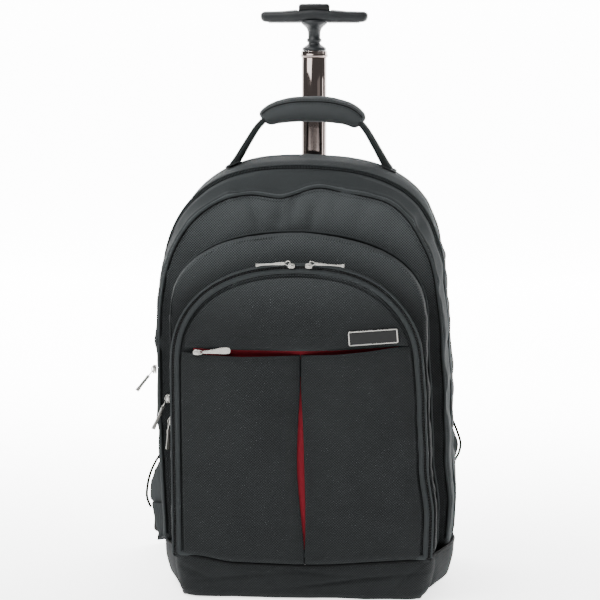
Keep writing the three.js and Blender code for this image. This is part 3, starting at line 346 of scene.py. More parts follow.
def noise(points, size, seed=0):
    """Smooth random heights from -1 to 1, with bumps about `size` millimetres wide."""
    p = np.asarray(points, float) / size + seed * 7.31
    cell = np.floor(p).astype(int)
    f = p - cell
    f = f * f * (3 - 2 * f)
    total = 0
    for corner in np.ndindex(2, 2, 2):
        weight = np.prod(np.where(corner, f, 1 - f), -1)
        i, j, k = np.moveaxis((cell + corner) % 32, -1, 0)
        total = total + weight * LATTICE[i, j, k]
    return total


def soft_noise(points, size, seed=0):
    """Two sizes of noise together."""
    return 0.7 * noise(points, size, seed) + 0.3 * noise(points, size / 2.3, seed + 3)


print("noise at the origin", round(float(noise(np.zeros(3), 10)), 3))

# %% [markdown]
# ## Shader groups
# Three effects return on many pieces: the yarns of a weave, slow mottling of the colour, and a
# paler rim where edges rub. Each is a node group that is built once and gives out
# only masks and heights, so that every material keeps its own shader.

# %% Shader groups
def put(tree, kind, inputs=None, **settings):
    """Adds a node, sets its options, and links or fills its inputs."""
    node = tree.nodes.new(kind)
    for key, value in settings.items():
        setattr(node, key, value)
    for key, value in (inputs or {}).items():
        socket = node.inputs[key]
        if isinstance(value, bpy.types.NodeSocket):
            tree.links.new(value, socket)
        else:
            socket.default_value = value
    return node


def maths(tree, operation, *values):
    return put(tree, "ShaderNodeMath", dict(enumerate(values)), operation=operation).outputs[0]


def group(name, inputs, outputs):
    tree = bpy.data.node_groups.new(name, "ShaderNodeTree")
    for label, kind in inputs:
        tree.interface.new_socket(label, in_out="INPUT", socket_type=kind)
    for label, kind in outputs:
        tree.interface.new_socket(label, in_out="OUTPUT", socket_type=kind)
    return tree, tree.nodes.new("NodeGroupInput").outputs, tree.nodes.new("NodeGroupOutput").inputs


def yarn_weave():
    """Height of crossing yarns: the product of two sine waves at right angles, so that bumps and
    hollows alternate like a chess board, with every yarn a little different from the next."""
    tree, given, out = group("yarn_weave", [("Vector", "NodeSocketVector"), ("Pitch", "NodeSocketFloat")],
                             [("Height", "NodeSocketFloat"), ("Yarn", "NodeSocketFloat")])
    parts = put(tree, "ShaderNodeSeparateXYZ", {0: given["Vector"]}).outputs
    waves = []
    for axis in (parts[0], parts[1]):
        turns = maths(tree, "DIVIDE", axis, given["Pitch"])
        waves.append(maths(tree, "SINE", maths(tree, "MULTIPLY", turns, 2 * math.pi)))
    height = maths(tree, "MULTIPLY", *waves)
    tree.links.new(maths(tree, "MULTIPLY_ADD", height, 0.5, 0.5), out["Height"])
    uneven = put(tree, "ShaderNodeTexNoise", {"Vector": given["Vector"], "Scale": 0.35, "Detail": 3.0})
    tree.links.new(uneven.outputs[0], out["Yarn"])
    return tree


def mottle():
    """Slow patches over the surface, from two sizes of noise in object space."""
    tree, given, out = group("mottle", [("Size", "NodeSocketFloat")], [("Mask", "NodeSocketFloat")])
    place = put(tree, "ShaderNodeTexCoord").outputs["Object"]
    scale = maths(tree, "DIVIDE", 1.0, given["Size"])
    blot = put(tree, "ShaderNodeTexNoise", {"Vector": place, "Scale": scale, "Detail": 4.0, "Roughness": 0.6})
    tree.links.new(blot.outputs[0], out["Mask"])
    return tree


def worn_edges():
    """A mask of convex edges: Pointiness above its middle value, broken up by fine noise."""
    tree, given, out = group("worn_edges", [("Reach", "NodeSocketFloat")], [("Mask", "NodeSocketFloat")])
    sharp = put(tree, "ShaderNodeNewGeometry").outputs["Pointiness"]
    place = put(tree, "ShaderNodeTexCoord").outputs["Object"]
    grit = put(tree, "ShaderNodeTexNoise", {"Vector": place, "Scale": 900.0, "Detail": 2.0}).outputs[0]
    rise = maths(tree, "MULTIPLY", maths(tree, "SUBTRACT", sharp, 0.51), given["Reach"])
    mask = put(tree, "ShaderNodeMath", {0: rise, 1: grit}, operation="MULTIPLY", use_clamp=True).outputs[0]
    tree.links.new(mask, out["Mask"])
    return tree


WEAVE, MOTTLE, EDGES = yarn_weave(), mottle(), worn_edges()
print("groups", [g.name for g in (WEAVE, MOTTLE, EDGES)])

# %% [markdown]
# ## Cloth materials
# The front panels are a heavy nylon whose yarns show as fine light dots; the gussets and the
# top are a plainer, slightly paler cloth. Both are one recipe with different numbers: the weave
# darkens the gaps between yarns and lifts the yarns as bump. Near the bag's top the front cloth is
# painted paler, most where it faces upwards: painted light, as if the lamps above lit it more.

# %% Cloth materials
MATERIALS = {}


def shader(name, rough, metal=0.0, **sockets):
    material = bpy.data.materials.new(name)
    material.use_nodes = True
    tree = material.node_tree
    principled = tree.nodes["Principled BSDF"]
    principled.inputs["Roughness"].default_value = rough
    principled.inputs["Metallic"].default_value = metal
    for key, value in sockets.items():
        principled.inputs[key.replace("_", " ")].default_value = value
    MATERIALS[name] = material
    return tree, principled


def blend(tree, mask, a, b, mode="MIX"):
    mix = put(tree, "ShaderNodeMix", data_type="RGBA", blend_type=mode)
    for key, value in ((0, mask), (6, a), (7, b)):
        if isinstance(value, bpy.types.NodeSocket):
            tree.links.new(value, mix.inputs[key])
        else:
            mix.inputs[key].default_value = value
    return mix.outputs[2]


def placed(tree, name, **inputs):
    node = put(tree, "ShaderNodeGroup", node_tree=name)
    for key, value in inputs.items():
        if isinstance(value, bpy.types.NodeSocket):
            tree.links.new(value, node.inputs[key])
        else:
            node.inputs[key].default_value = value
    return node.outputs


def grey(value, tint=(1, 1, 1)):
    return (*[value * t for t in tint], 1.0)


def ramp(tree, value, low, high, start, end, kind="LINEAR"):
    """Maps a value from low..high to start..end, and keeps it there beyond them."""
    inputs = {0: value, 1: low, 2: high, 3: start, 4: end}
    return put(tree, "ShaderNodeMapRange", inputs, interpolation_type=kind).outputs[0]


COOL = (0.9, 1.0, 1.03)
# Heights in metres between which painted light makes the cloth paler near the bag's top.
UPWARD_LIGHT_FROM, UPWARD_LIGHT_TO = 0.39, 0.44
TOP_LIGHT_FROM, TOP_LIGHT_TO = 0.3, 0.41


def woven(name, dark, light, pitch, bump, rough=0.85, tint=COOL, specular=0.07, patches=0.4, painted_light=0.0):
    """Cloth from its dark gaps and light yarns (linear greys), yarn pitch in millimetres and relief. The
    last argument is painted light: how much paler the colour is painted near the top, most of all
    where it faces upwards. The heights between which it does so are in metres."""
    tree, principled = shader(name, rough, Specular_IOR_Level=specular)
    cloth = put(tree, "ShaderNodeUVMap", uv_map="cloth").outputs[0]
    weave = placed(tree, WEAVE, Vector=cloth, Pitch=pitch)
    slow = placed(tree, MOTTLE, Size=0.045)[0]
    yarns = blend(tree, weave["Height"], grey(dark, tint), grey(light, tint))
    uneven = blend(tree, maths(tree, "MULTIPLY", weave["Yarn"], 0.5), yarns, grey(light * 0.7, tint))
    colour = blend(tree, maths(tree, "MULTIPLY", slow, patches), uneven, grey(dark, tint))
    worn = placed(tree, EDGES, Reach=3.0)[0]
    rubbed = blend(tree, worn, colour, grey(light * 1.3, tint))
    normal = put(tree, "ShaderNodeNewGeometry").outputs["Normal"]
    facing_up = put(tree, "ShaderNodeSeparateXYZ", {0: normal}).outputs[2]
    place = put(tree, "ShaderNodeTexCoord").outputs["Object"]
    height = put(tree, "ShaderNodeSeparateXYZ", {0: place}).outputs[2]
    # Painted light: cloth near the top that faces upwards is painted paler, as if lit more from above.
    near_top = ramp(tree, height, UPWARD_LIGHT_FROM, UPWARD_LIGHT_TO, 0.0, painted_light)
    lit_from_above = ramp(tree, facing_up, -0.02, 0.55, 0.0, near_top)
    # Painted light: the yarns are painted paler towards the bag's top, as if lit more there.
    pale = ramp(tree, height, TOP_LIGHT_FROM, TOP_LIGHT_TO, 0.0, painted_light, "SMOOTHSTEP")
    painted_top_light = blend(tree, maths(tree, "MULTIPLY", pale, weave["Height"]), rubbed, grey(light * 2.6, tint))
    tree.links.new(blend(tree, lit_from_above, painted_top_light, grey(light * 1.7, tint)), principled.inputs["Base Color"])
    depth = put(tree, "ShaderNodeBump", {"Height": weave["Height"], "Strength": bump, "Distance": 0.0004})
    tree.links.new(depth.outputs[0], principled.inputs["Normal"])


# Only the front nylon gets painted light near the top; the other cloths get none.
woven("woven_cloth", 0.001, 0.024, 3.0, 0.9, painted_light=0.85)
woven("plain_cloth", 0.014, 0.037, 1.3, 0.3, specular=0.02)
woven("back_padding", 0.012, 0.044, 2.2, 0.5, specular=0.12)
woven("webbing", 0.004, 0.024, 2.4, 0.5)
woven("zip_tape", 0.0012, 0.006, 1.2, 0.3)
woven("red_lining", 0.05, 0.14, 1.1, 0.3, rough=0.6, tint=(1.0, 0.035, 0.08), patches=0.3)
print("cloth", sorted(MATERIALS))

# %% [markdown]
# ## Hard materials
# Pullers are nickel-plated castings, the pole is a dark plated steel tube, the grip and the
# wheel base are moulded plastic with a fine spark-eroded grain, and the tyres are matt rubber.

# %% Hard materials
def moulded(name, colour, rough, grain, bump=0.25, metal=0.0, wear=2.0, **sockets):
    """A solid finish: base colour with mottling, paler worn edges and a fine grain."""
    tree, principled = shader(name, rough, metal, **sockets)
    place = put(tree, "ShaderNodeTexCoord").outputs["Object"]
    fine = put(tree, "ShaderNodeTexNoise", {"Vector": place, "Scale": grain, "Detail": 3.0}).outputs[0]
    patches = placed(tree, MOTTLE, Size=0.02)[0]
    worn = placed(tree, EDGES, Reach=wear)[0]
    base = (*colour, 1.0)
    shade = blend(tree, maths(tree, "MULTIPLY", patches, 0.35), base, (*[c * 0.7 for c in colour], 1.0))
    rubbed = blend(tree, worn, shade, (*[min(1, c * 1.6 + 0.02) for c in colour], 1.0))
    tree.links.new(rubbed, principled.inputs["Base Color"])
    spread = maths(tree, "MULTIPLY_ADD", patches, 0.16, rough - 0.08)
    tree.links.new(spread, principled.inputs["Roughness"])
    depth = put(tree, "ShaderNodeBump", {"Height": fine, "Strength": bump, "Distance": 0.0002})
    tree.links.new(depth.outputs[0], principled.inputs["Normal"])


moulded("pull_metal", (0.3, 0.293, 0.275), 0.28, 700, 0.08, metal=1.0)
moulded("black_plastic", (0.003, 0.0032, 0.0034), 0.4, 2600, 0.3, Specular_IOR_Level=0.2)
moulded("grip_plastic", (0.007, 0.0082, 0.009), 0.46, 2600, 0.3, Specular_IOR_Level=0.2)
moulded("pole_metal", (0.17, 0.14, 0.13), 0.08, 300, 0.03, metal=1.0)
moulded("axle_steel", (0.55, 0.55, 0.54), 0.3, 500, 0.1, metal=1.0)
moulded("wheel_rubber", (0.006, 0.006, 0.006), 0.75, 1400, 0.5)
moulded("foot_rubber", (0.007, 0.007, 0.007), 0.7, 1400, 0.5)
print("hard", sorted(MATERIALS))


def finish_piece(obj, slot, *nodes, body="root", padded=None):
    """Gives a piece its material slot and its body, and hides the CAD nodes that it stands for."""
    obj.data.materials.clear()
    obj.data.materials.append(MATERIALS[slot])
    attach(obj, body)
    if nodes:
        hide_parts(*nodes)
    return obj


def piece(name, forms, slot, *nodes, body="root"):
    """Forms joined into one finished piece."""
    return finish_piece(joined(name, forms), slot, *nodes, body=body)


CLOTH = 2.0


def cloth_skin(name, points, slot, *nodes, padded, around=True, **mapping):
    """A grid of points as one finished piece of cloth with its real wall."""
    skin = thicken(surface(name, points, around=around, **mapping), CLOTH)
    return finish_piece(skin, slot, *nodes, padded=padded)


# %% [markdown]
# ## The compartments
# From the front each compartment has the same kind of outline: a flat bottom, rounded corners,
# sides that lean outwards, and a superellipse arch whose right shoulder hangs a little lower.
# The bag isn't quite symmetric, and `hang` moves its finished points sideways as it hangs.
# The outline is carried through the depth, pulled in round the front edge, and closed by a
# gently crowned face.

# %% Outline of a compartment
SHAPES = {
    "main_shell": dict(half=172, foot=166, bottom=44, spring=268, top=484, power=2.93, corner=14, slump=8),
    "second_shell": dict(half=170, foot=164, bottom=44, spring=268, top=472, power=2.9, corner=14, slump=9),
    "third_shell": dict(half=148, foot=147, bottom=44, spring=310, top=406, power=2.5, corner=16, slump=10),
    "pocket_shell": dict(half=144, foot=143, bottom=44, spring=262, top=376, power=2.35, corner=8, slump=4),
    "back_panel": dict(half=128, foot=122, bottom=76.3, spring=330, top=470, power=2.6, corner=26, slump=0),
}
ROWS = {
    "main_shell": [(0, 0.985, 0.973), (0.3, 1, 0.99), (0.75, 0.995, 1), (1, 0.985, 0.994)],
    "second_shell": [(0, 1, 1), (0.35, 1, 0.994), (0.8, 0.988, 0.972), (1, 0.985, 0.968)],
    "third_shell": [(0, 0.99, 0.996), (0.6, 1, 1), (1, 0.99, 0.994)],
    "pocket_shell": [(0, 0.962, 0.99), (0.27, 0.966, 0.994), (0.55, 1, 1), (1, 1, 1)],
    "back_panel": [(0, 1, 1), (0.6, 0.985, 0.994), (1, 0.95, 0.98)],
}
SWAY = [(0, 0.008), (0.09, 0.014), (0.2, 0.02), (0.32, -0.02), (0.45, -0.036), (0.58, -0.058), (0.68, -0.066),
        (0.8, -0.046), (0.93, 0), (1.3, 0)]


def outline(half, foot, bottom, spring, top, power, corner, slump, count=300):
    """Closed outline from the middle of the bottom up the right side, at equal distances. Side: x runs
    from foot to half by a sine. Arch: x = half * cos(a)^(2/power), z = spring + rise * sin(a)^(2/power)."""
    turn = np.linspace(0, math.pi / 2, 60)
    round_x = foot - corner + corner * np.sin(turn)
    round_z = bottom + corner * (1 - np.cos(turn))
    t = np.linspace(0, 1, 60)[1:]
    side_x = foot + (half - foot) * np.sin(math.pi / 2 * t)
    side_z = bottom + corner + (spring - bottom - corner) * t
    across, up = np.cos(turn[1:]) ** (2 / power), np.sin(turn[1:]) ** (2 / power)
    across[-1] = 0
    x = np.concatenate([[0], round_x, side_x, half * across])
    arch_z = spring + (top - spring) * up
    right = np.concatenate([[bottom], round_z, side_z, arch_z - slump * across * up])
    left = np.concatenate([[bottom], round_z, side_z, arch_z])
    both = np.concatenate([np.stack([x, right], 1), np.stack([-x, left], 1)[-2:0:-1]])
    return even(both, count, closed=True)


def sizes_of(node, by=0.0, wide=1.0, tall=1.0):
    """Outline sizes of a compartment, scaled and pulled in."""
    shape = SHAPES[node]
    bottom = shape["bottom"]
    return dict(
        half=shape["half"] * wide - by,
        foot=shape["foot"] * wide - by,
        bottom=bottom + by,
        spring=bottom + (shape["spring"] - bottom) * tall,
        top=bottom + (shape["top"] - bottom) * tall - by,
        power=shape["power"],
        corner=max(shape["corner"] - by, 2),
        slump=shape["slump"],
    )


def fade(value, low, high):
    """Smooth step: 0 below low, 1 above high."""
    t = np.clip((value - low) / (high - low), 0, 1)
    return t * t * (3 - 2 * t)


def hang(points):
    """The filled bag as it hangs: its right flank is drawn in at the shoulder and swings out above the boot.
    x moves by HALF * out(height), growing by a smooth step from the middle to the flank."""
    rows = np.array(SWAY)
    up = points[..., 2] / SHAPES["main_shell"]["top"]
    i = np.clip(np.searchsorted(rows[:, 0], up, side="right"), 1, len(rows) - 1)
    share = fade(up, rows[i - 1, 0], rows[i, 0])
    out = rows[i - 1, 1] + (rows[i, 1] - rows[i - 1, 1]) * share
    moved = np.array(points, float)
    moved[..., 0] += HALF * out * fade(points[..., 0] / HALF, 0, 0.85)
    return moved


def ring(node, y, count=300, **changes):
    """An outline of a compartment as points at one depth."""
    flat = outline(**sizes_of(node, **changes), count=count)
    return np.insert(flat, 1, y, axis=1)


def shell_rings(node, mouth, face, edge, crown, depth_steps=16, edge_steps=8, face_steps=10, count=300):
    """Rings from the mouth to the middle of the face: straight wall, quarter-round edge of radius
    `edge`, then a face that swells by `crown` towards its middle. Returns the grid and the row of
    the edge."""
    way = np.sign(face - mouth)
    straight = 1 - edge / abs(face - mouth)
    wide, tall = smooth_table(ROWS[node], np.linspace(0, straight, depth_steps))
    rings = [ring(node, mouth + (face - mouth) * at, count, wide=w, tall=h)
             for at, w, h in zip(np.linspace(0, straight, depth_steps), wide, tall)]
    for turn in np.linspace(0, math.pi / 2, edge_steps)[1:]:
        y = face - way * edge * (1 - math.sin(turn))
        rings.append(ring(node, y, count, wide=wide[-1], tall=tall[-1], by=edge * (1 - math.cos(turn))))
    edge_row = len(rings) - edge_steps // 2
    rim = rings[-1]
    middle = rim.mean(0)
    for share in np.linspace(1, 0.02, face_steps)[1:]:
        flat = middle + (rim - middle) * share
        flat[:, 1] = face + way * crown * (1 - share**2)
        rings.append(flat)
    return np.stack(rings), edge_row


def displaced(points, amount, around=False, away_from=None):
    """Moves a grid along its normals, which point away from a place inside."""
    normals = grid_normals(points, around)
    middle = points.reshape(-1, 3).mean(0) if away_from is None else np.asarray(away_from, float)
    if (normals * (points - middle)).sum() < 0:
        normals = -normals
    return points + normals * np.asarray(amount)[..., None]


print("main outline is", round(float(lengths_along(outline(**sizes_of("main_shell")), 0)[-1])), "mm round")

# %% Small forms
def rounded(points, radius, steps=4):
    """Closed outline with each corner replaced by a quadratic curve that starts `radius` before it."""
    p = np.asarray(points, float)
    back, ahead = np.roll(p, 1, 0) - p, np.roll(p, -1, 0) - p
    reach = [np.minimum(radius, np.linalg.norm(d, axis=1, keepdims=True) * 0.48) for d in (back, ahead)]
    a, b = p + unit(back) * reach[0], p + unit(ahead) * reach[1]
    t = np.linspace(0, 1, steps)[None, :, None]
    return ((1 - t) ** 2 * a[:, None] + 2 * t * (1 - t) * p[:, None] + t**2 * b[:, None]).reshape(-1, 2)


def pulled_in(flat, by):
    """A counter-clockwise outline moved inwards by a distance along its corner normals."""
    along = unit(np.roll(flat, -1, 0) - np.roll(flat, 1, 0))
    return flat + by * np.stack([-along[:, 1], along[:, 0]], 1)


def raised(flat, z=0.0):
    """A flat outline at a height."""
    return np.insert(flat, 2, z, axis=1)


def stacked(flat, rows):
    """A flat outline once for each row of (height, distance that it is pulled in)."""
    return np.stack([raised(pulled_in(flat, by), z) for z, by in rows])


def plate(flat, thick, bevel, steps=3):
    """A flat outline as a slab about z = 0 whose two rims are quarter rounds."""
    flat = np.asarray(flat, float)
    x, y = flat[:, 0], flat[:, 1]
    if (x * np.roll(y, -1) - y * np.roll(x, -1)).sum() < 0:
        flat = flat[::-1]
    turns = np.linspace(0, math.pi / 2, steps)
    half = thick / 2
    rows = [(half - bevel * (1 - math.sin(a)), bevel * (1 - math.cos(a))) for a in turns]
    rows.append((half, bevel + 0.25))
    return stacked(flat, [(-z, by) for z, by in rows[::-1]] + rows)


def box_outline(wide, high):
    return np.array([[-wide, -high], [wide, -high], [wide, high], [-wide, high]]) / 2


def set_at(points, place, x=(1, 0, 0), y=(0, 0, 1)):
    """Moves local points to a place, their first two axes along x and y."""
    x = unit(np.asarray(x, float))
    y = unit(np.asarray(y, float) - np.dot(y, x) * x)
    return np.asarray(place, float) + points @ np.stack([x, y, np.cross(x, y)])


def turned(profile, centre, axis=(0, 0, 1), sides=56):
    """A closed profile of (radius, height) rows turned round an axis through a centre."""
    profile = np.asarray(profile, float)
    a = np.linspace(0, 2 * math.pi, sides, endpoint=False)
    ring_points = np.stack([profile[:, :1] * np.cos(a), profile[:, :1] * np.sin(a),
                            np.broadcast_to(profile[:, 1:], (len(profile), sides))], -1)
    side = (1, 0, 0) if abs(axis[0]) < 0.5 else (0, 1, 0)
    return set_at(ring_points, centre, side, np.cross(axis, side))


def bead(long, wide, high, sides=6, rings=4):
    """An egg along its first axis, cut off flat just before its two poles."""
    a = np.linspace(0.35, math.pi - 0.35, rings)[:, None]
    t = np.linspace(0, 2 * math.pi, sides, endpoint=False)
    along = -long / 2 * np.cos(a) + 0 * t
    return np.stack([along, wide / 2 * np.sin(a) * np.cos(t), high / 2 * np.sin(a) * np.sin(t)], -1)


def repeated(form, places, along, across):
    """Copies of one grid form at many places, its first axis along and its second across."""
    verts, faces, uvs = solid(form)
    basis = np.stack([along, across, np.cross(along, across)], 1)
    count, size = len(places), len(verts)
    copies = places[:, None] + verts[None] @ basis
    shift = (size * np.arange(count))[:, None, None]
    many = [(f[None] + shift).reshape(-1, f.shape[1]) for f in faces]
    return copies.reshape(-1, 3), many, [np.tile(u, (count, 1, 1)) for u in uvs]


def tube(path, radius, side=(0, 1, 0), closed=False, sides=10):
    """A round cord along a path; radius may change along it."""
    radii = np.broadcast_to(np.asarray(radius, float), len(path))
    section = ellipse(2, 2, sides)[None] * radii[:, None, None]
    return solid(sweep(path, section, side, closed), loop=closed, caps=not closed)


def stitches(path, out, pitch=3.4, long=2.5, thick=0.55, lift=0.1):
    """A row of thread stitches along a path, lying on the side that `out` points to."""
    count = max(int(lengths_along(path, 0)[-1] / pitch), 2)
    places = even(path, count)
    along = unit(np.gradient(places, axis=0))
    out = np.broadcast_to(np.asarray(out, float), places.shape) if np.ndim(out) < 2 else even(out, count)
    across = unit(np.cross(out, along))
    places = places + lift * unit(np.cross(along, across))
    return repeated(bead(long, thick * 1.3, thick, rings=3), places, along, across)


def teeth_along(path, out, pitch, form):
    """A form repeated across a path, such as the coil of a zip: its first axis lies across."""
    count = max(int(lengths_along(path, 0)[-1] / pitch), 2)
    places = even(path, count)
    along = unit(np.gradient(places, axis=0))
    out = even(np.broadcast_to(out, path.shape), count)
    across = unit(np.cross(along, out))
    return repeated(form, places, across, along)


print("one stitch has", len(solid(bead(2, 1, 1))[0]), "corners")

# %% Compartment shells
FACES = {
    "main_shell": (5, 86),
    "second_shell": (-4, -42),
    "third_shell": (-51.6, -80.6),
    "pocket_shell": (-80.9, -97.9),
}
SIDE_FOLDS = 1.6


def rumpled(points, height, size, seed, around=True):
    """Cloth that isn't quite even: soft noise along the normals."""
    return displaced(points, height * soft_noise(points, size, seed), around)


def folded_sides(points, seed, height=SIDE_FOLDS):
    """Creases that run along the depth of a gusset: noise that changes quickly upwards and slowly along Y.
    They are strongest at the right flank, below the shoulder."""
    stretched = points * [0.2, 0.35, 1.0]
    where = fade(np.abs(points[..., 0]), 110, 150) * fade(points[..., 2], 60, 130)
    right = np.where(points[..., 0] > 0, 1.0, 0.45)
    amount = height * where * right * (noise(stretched, 17, seed) + 0.5 * noise(stretched, 8, seed + 5))
    return displaced(points, amount, True)


def puckered(points, row, height, pitch, reach, seed):
    """Gathers at a seam: noise along the seam that dies away from it over `reach` millimetres."""
    away = np.linalg.norm(points - points[row][None], axis=-1)
    along = lengths_along(np.repeat(points[row][None], len(points), 0), 1)
    gathers = noise(np.stack([along, 0 * along, 0 * along], -1), pitch, seed)
    return displaced(points, height * gathers * np.exp(-away / reach), True)


def dented(points, dents, face_y, reach=30):
    """Presses troughs into a front face. A dent is long along one direction and narrow across it:
    depth * exp(-(along / length)^2 - (across / width)^2), fading away from the face."""
    x, z = points[..., 0], points[..., 2]
    near = np.exp(-((points[..., 1] - face_y) / reach) ** 2)
    push = np.zeros_like(x)
    for place_x, place_z, length, width, lean, depth in dents:
        c, s = math.cos(math.radians(lean)), math.sin(math.radians(lean))
        along = (x - place_x) * c + (z - place_z) * s
        across = -(x - place_x) * s + (z - place_z) * c
        push += depth * np.exp(-(along / length) ** 2 - (across / width) ** 2)
    moved = points.copy()
    moved[..., 1] += push * near
    return moved


WAVE = [(-200, 0), (-118, 0), (-88, -1), (-60, -4), (-42, -9), (-27, -12.5), (-8, -6), (10, 0.5), (22, 1.5),
        (45, -2), (69, 0), (97, 3), (125, 1), (150, 0), (200, 0)]


def leaning(points, node, start, back):
    """The top of a filled compartment leans back: y moves by a power of the height above `start`, growing
    from nothing at its mouth to all of it at its face."""
    mouth, face = FACES[node]
    height = np.clip((points[..., 2] - start) / (SHAPES[node]["top"] - start), 0, 1)
    moved = points.copy()
    moved[..., 1] += back * height**1.5 * fade(mouth - points[..., 1], 0, mouth - face)
    return moved


def waved(points):
    """The slack top edge of the second compartment: z follows a listed table over x, growing from
    nothing at the zip to all of it at the front edge."""
    lift = from_rows(WAVE, points[..., 0])
    mouth, face = FACES["second_shell"]
    share = fade(mouth - points[..., 1], 4, mouth - face) * fade(points[..., 2], 340, 425)
    moved = points.copy()
    moved[..., 2] += lift * share
    return moved


def compartment(node, **sizes):
    """Rings of a compartment between its two depths in FACES, and the row of its edge."""
    return shell_rings(node, *FACES[node], **sizes)


SECOND_LEAN, THIRD_LEAN = (385, 19), (345, 12)
main, _ = compartment("main_shell", edge=11, crown=0, count=420)
main = hang(folded_sides(rumpled(main, 1.7, 60, 1), 11))
cloth_skin("main_shell_cloth", main, "plain_cloth", "main_shell", padded=0.7)

second, second_edge = compartment("second_shell", edge=6, crown=2, depth_steps=26, face_steps=22, count=520)
SECOND_DENTS = [
    (-55, 424, 15, 5, -58, 5),
    (-29, 432, 12, 5, 50, 5),
    (-14, 438, 9, 4, 75, 4),
    (9, 425, 17, 5, 62, 3),
    (34, 434, 12, 5, 100, 2),
    (66, 430, 22, 9, 84, 2),
    (106, 414, 22, 9, -50, 2.5),
    (-92, 412, 18, 8, 30, 2),
    (-118, 388, 26, 10, 52, 3),
    (142, 380, 26, 8, -70, 3.5),
    (-33, 402, 7, 4, 60, 3),
    (-12, 403, 9, 4, 10, 2.5),
    (7, 404, 9, 4, 65, 3),
]
second = dented(rumpled(second, 1.6, 46, 2), SECOND_DENTS, FACES["second_shell"][1])
second = puckered(folded_sides(second, 12), second_edge, 2.4, 13, 15, 31)
second = hang(leaning(waved(second), "second_shell", *SECOND_LEAN))
gusset, front = second[: second_edge + 1], second[second_edge:]
cloth_skin("second_shell_gusset", gusset, "plain_cloth", "second_shell", padded=0.6,
           inside=second.mean((0, 1)))
cloth_skin("second_shell_front", front, "woven_cloth", padded=0.6, inside=(0, 40, 250))

third, third_edge = compartment("third_shell", edge=3.5, crown=1.5, depth_steps=18, face_steps=14, count=420)
third = puckered(folded_sides(rumpled(third, 1.2, 44, 3), 13, 1.6), third_edge, 0.9, 9, 9, 32)
third = hang(leaning(third, "third_shell", *THIRD_LEAN))
cloth_skin("third_shell_cloth", third, "woven_cloth", "third_shell", padded=0.6)

pocket, pocket_edge = compartment("pocket_shell", edge=4, crown=0, depth_steps=12, count=420)
pocket = hang(puckered(rumpled(pocket, 0.8, 40, 4), pocket_edge, 0.6, 8, 7, 33))
cloth_skin("pocket_shell_cloth", pocket, "woven_cloth", "pocket_shell", padded=0.6)
squares = sum(len(o.data.polygons) for o in bpy.data.objects if o.name.endswith("cloth"))
print("shells have", squares, "squares")

# %% [markdown]
# ## Piping
# A piping cord is sewn into the front edge of the second and third compartments. On the
# second one a thin welt lies behind the cord, and the seam is a row of stitches below it.

# %% Piping
def above(path, height):
    """The part of a closed outline above a height, as an open path from right to left."""
    keep = path[:, 2] > height
    start = int(np.argmin(keep)) if keep[0] else int(np.argmax(keep))
    rolled = np.roll(path, -start, 0)
    return rolled[np.roll(keep, -start)]


def inwards(path, target=(0, 0, 250)):
    """Directions in the X-Z plane from a path towards the middle of the bag, square to the path."""
    square_to = np.cross(unit(np.gradient(path, axis=0)), ALONG_Y)
    return unit(square_to) * np.sign((square_to * (np.asarray(target, float) - path)).sum(1, keepdims=True))


second_rim = ring("second_shell", FACES["second_shell"][1] - 1.2, 700, wide=0.985, tall=0.968, by=3.5)
second_cord = even(hang(leaning(waved(above(second_rim, 58)), "second_shell", *SECOND_LEAN)), 520)
piece("second_piping_cord", [tube(second_cord, 1.35)], "plain_cloth", "second_piping")
fold = second_cord + inwards(second_cord) * 1.9 - FRONT * 0.9
piece("second_piping_fold", [solid(sweep(fold, ellipse(1.8, 1.6, 8), inwards(second_cord)))], "zip_tape")
seam = second_cord + inwards(second_cord) * 5.2 + FRONT * 0.9
piece("second_piping_stitches", [stitches(seam, FRONT)], "webbing")

third_rim = ring("third_shell", FACES["third_shell"][1] + 0.6, 700, wide=0.99, tall=0.994, by=0.9)
third_cord = even(hang(leaning(above(third_rim, 58), "third_shell", *THIRD_LEAN)), 420)
piece("third_piping_cord", [tube(third_cord, 1.0)], "woven_cloth", "third_piping")
print("piping is", round(float(lengths_along(second_cord, 0)[-1])), "mm long")

# %% [markdown]
# ## Zips
# Each zip is a tape between two cloths, with a moulded coil along its middle. The two large
# ones run round the bag in the gap between two compartments. The front one lies flat on the
# pocket's face, between two welts of doubled cloth.

# %% Zips
COIL_PITCH = 1.7
COIL = bead(3.4, 1.2, 2.0)


def loop_zip(name, node, shape, y, tape_wide, tilt, **changes):
    """A zip round a whole compartment: tape with two raised lips and a coil above the boot. On the top its
    face turns by `tilt` degrees from straight outwards towards the front."""
    path = hang(ring(shape, y, 620, **changes))
    _, _, radial = frames(path, FRONT, True)
    t = math.radians(tilt) * fade(path[:, 2], 330, 430)[:, None]
    out = unit(radial * np.cos(t) + FRONT * np.sin(t))
    side = unit(FRONT * np.cos(t) - radial * np.sin(t))
    path = path + out * 2.2 * np.sin(t)
    tape = sweep(path - out * 0.9, ellipse(tape_wide + 0.8, 1.6, 12, 4), side, True)
    piece(f"{name}_tape", [solid(tape, loop=True)], "zip_tape", node)
    lips = [tube(path + side * s * (tape_wide / 2 - 0.9) + out * 0.7, 1.1, FRONT, True, 8) for s in (-1, 1)]
    piece(f"{name}_lips", lips, "plain_cloth")
    run = above(np.concatenate([path, out], 1), 62)
    coil = teeth_along(run[:, :3] + run[:, 3:] * 1.0, run[:, 3:], COIL_PITCH, COIL)
    piece(f"{name}_coil", [coil], "plain_cloth")


loop_zip("main_zip", "main_zip", "main_shell", 0.0, 8.4, 48, wide=0.985, tall=0.973)
loop_zip("second_zip", "second_zip", "third_shell", -46.8, 8.4, 0, wide=1.0, tall=1.0)


def arch(by, y, low=50, count=460):
    """Path along the front zip's arch, right to left, pulled in from the pocket's face."""
    rim = ring("pocket_shell", y, 900, by=by)
    return even(hang(above(rim, low)), count)


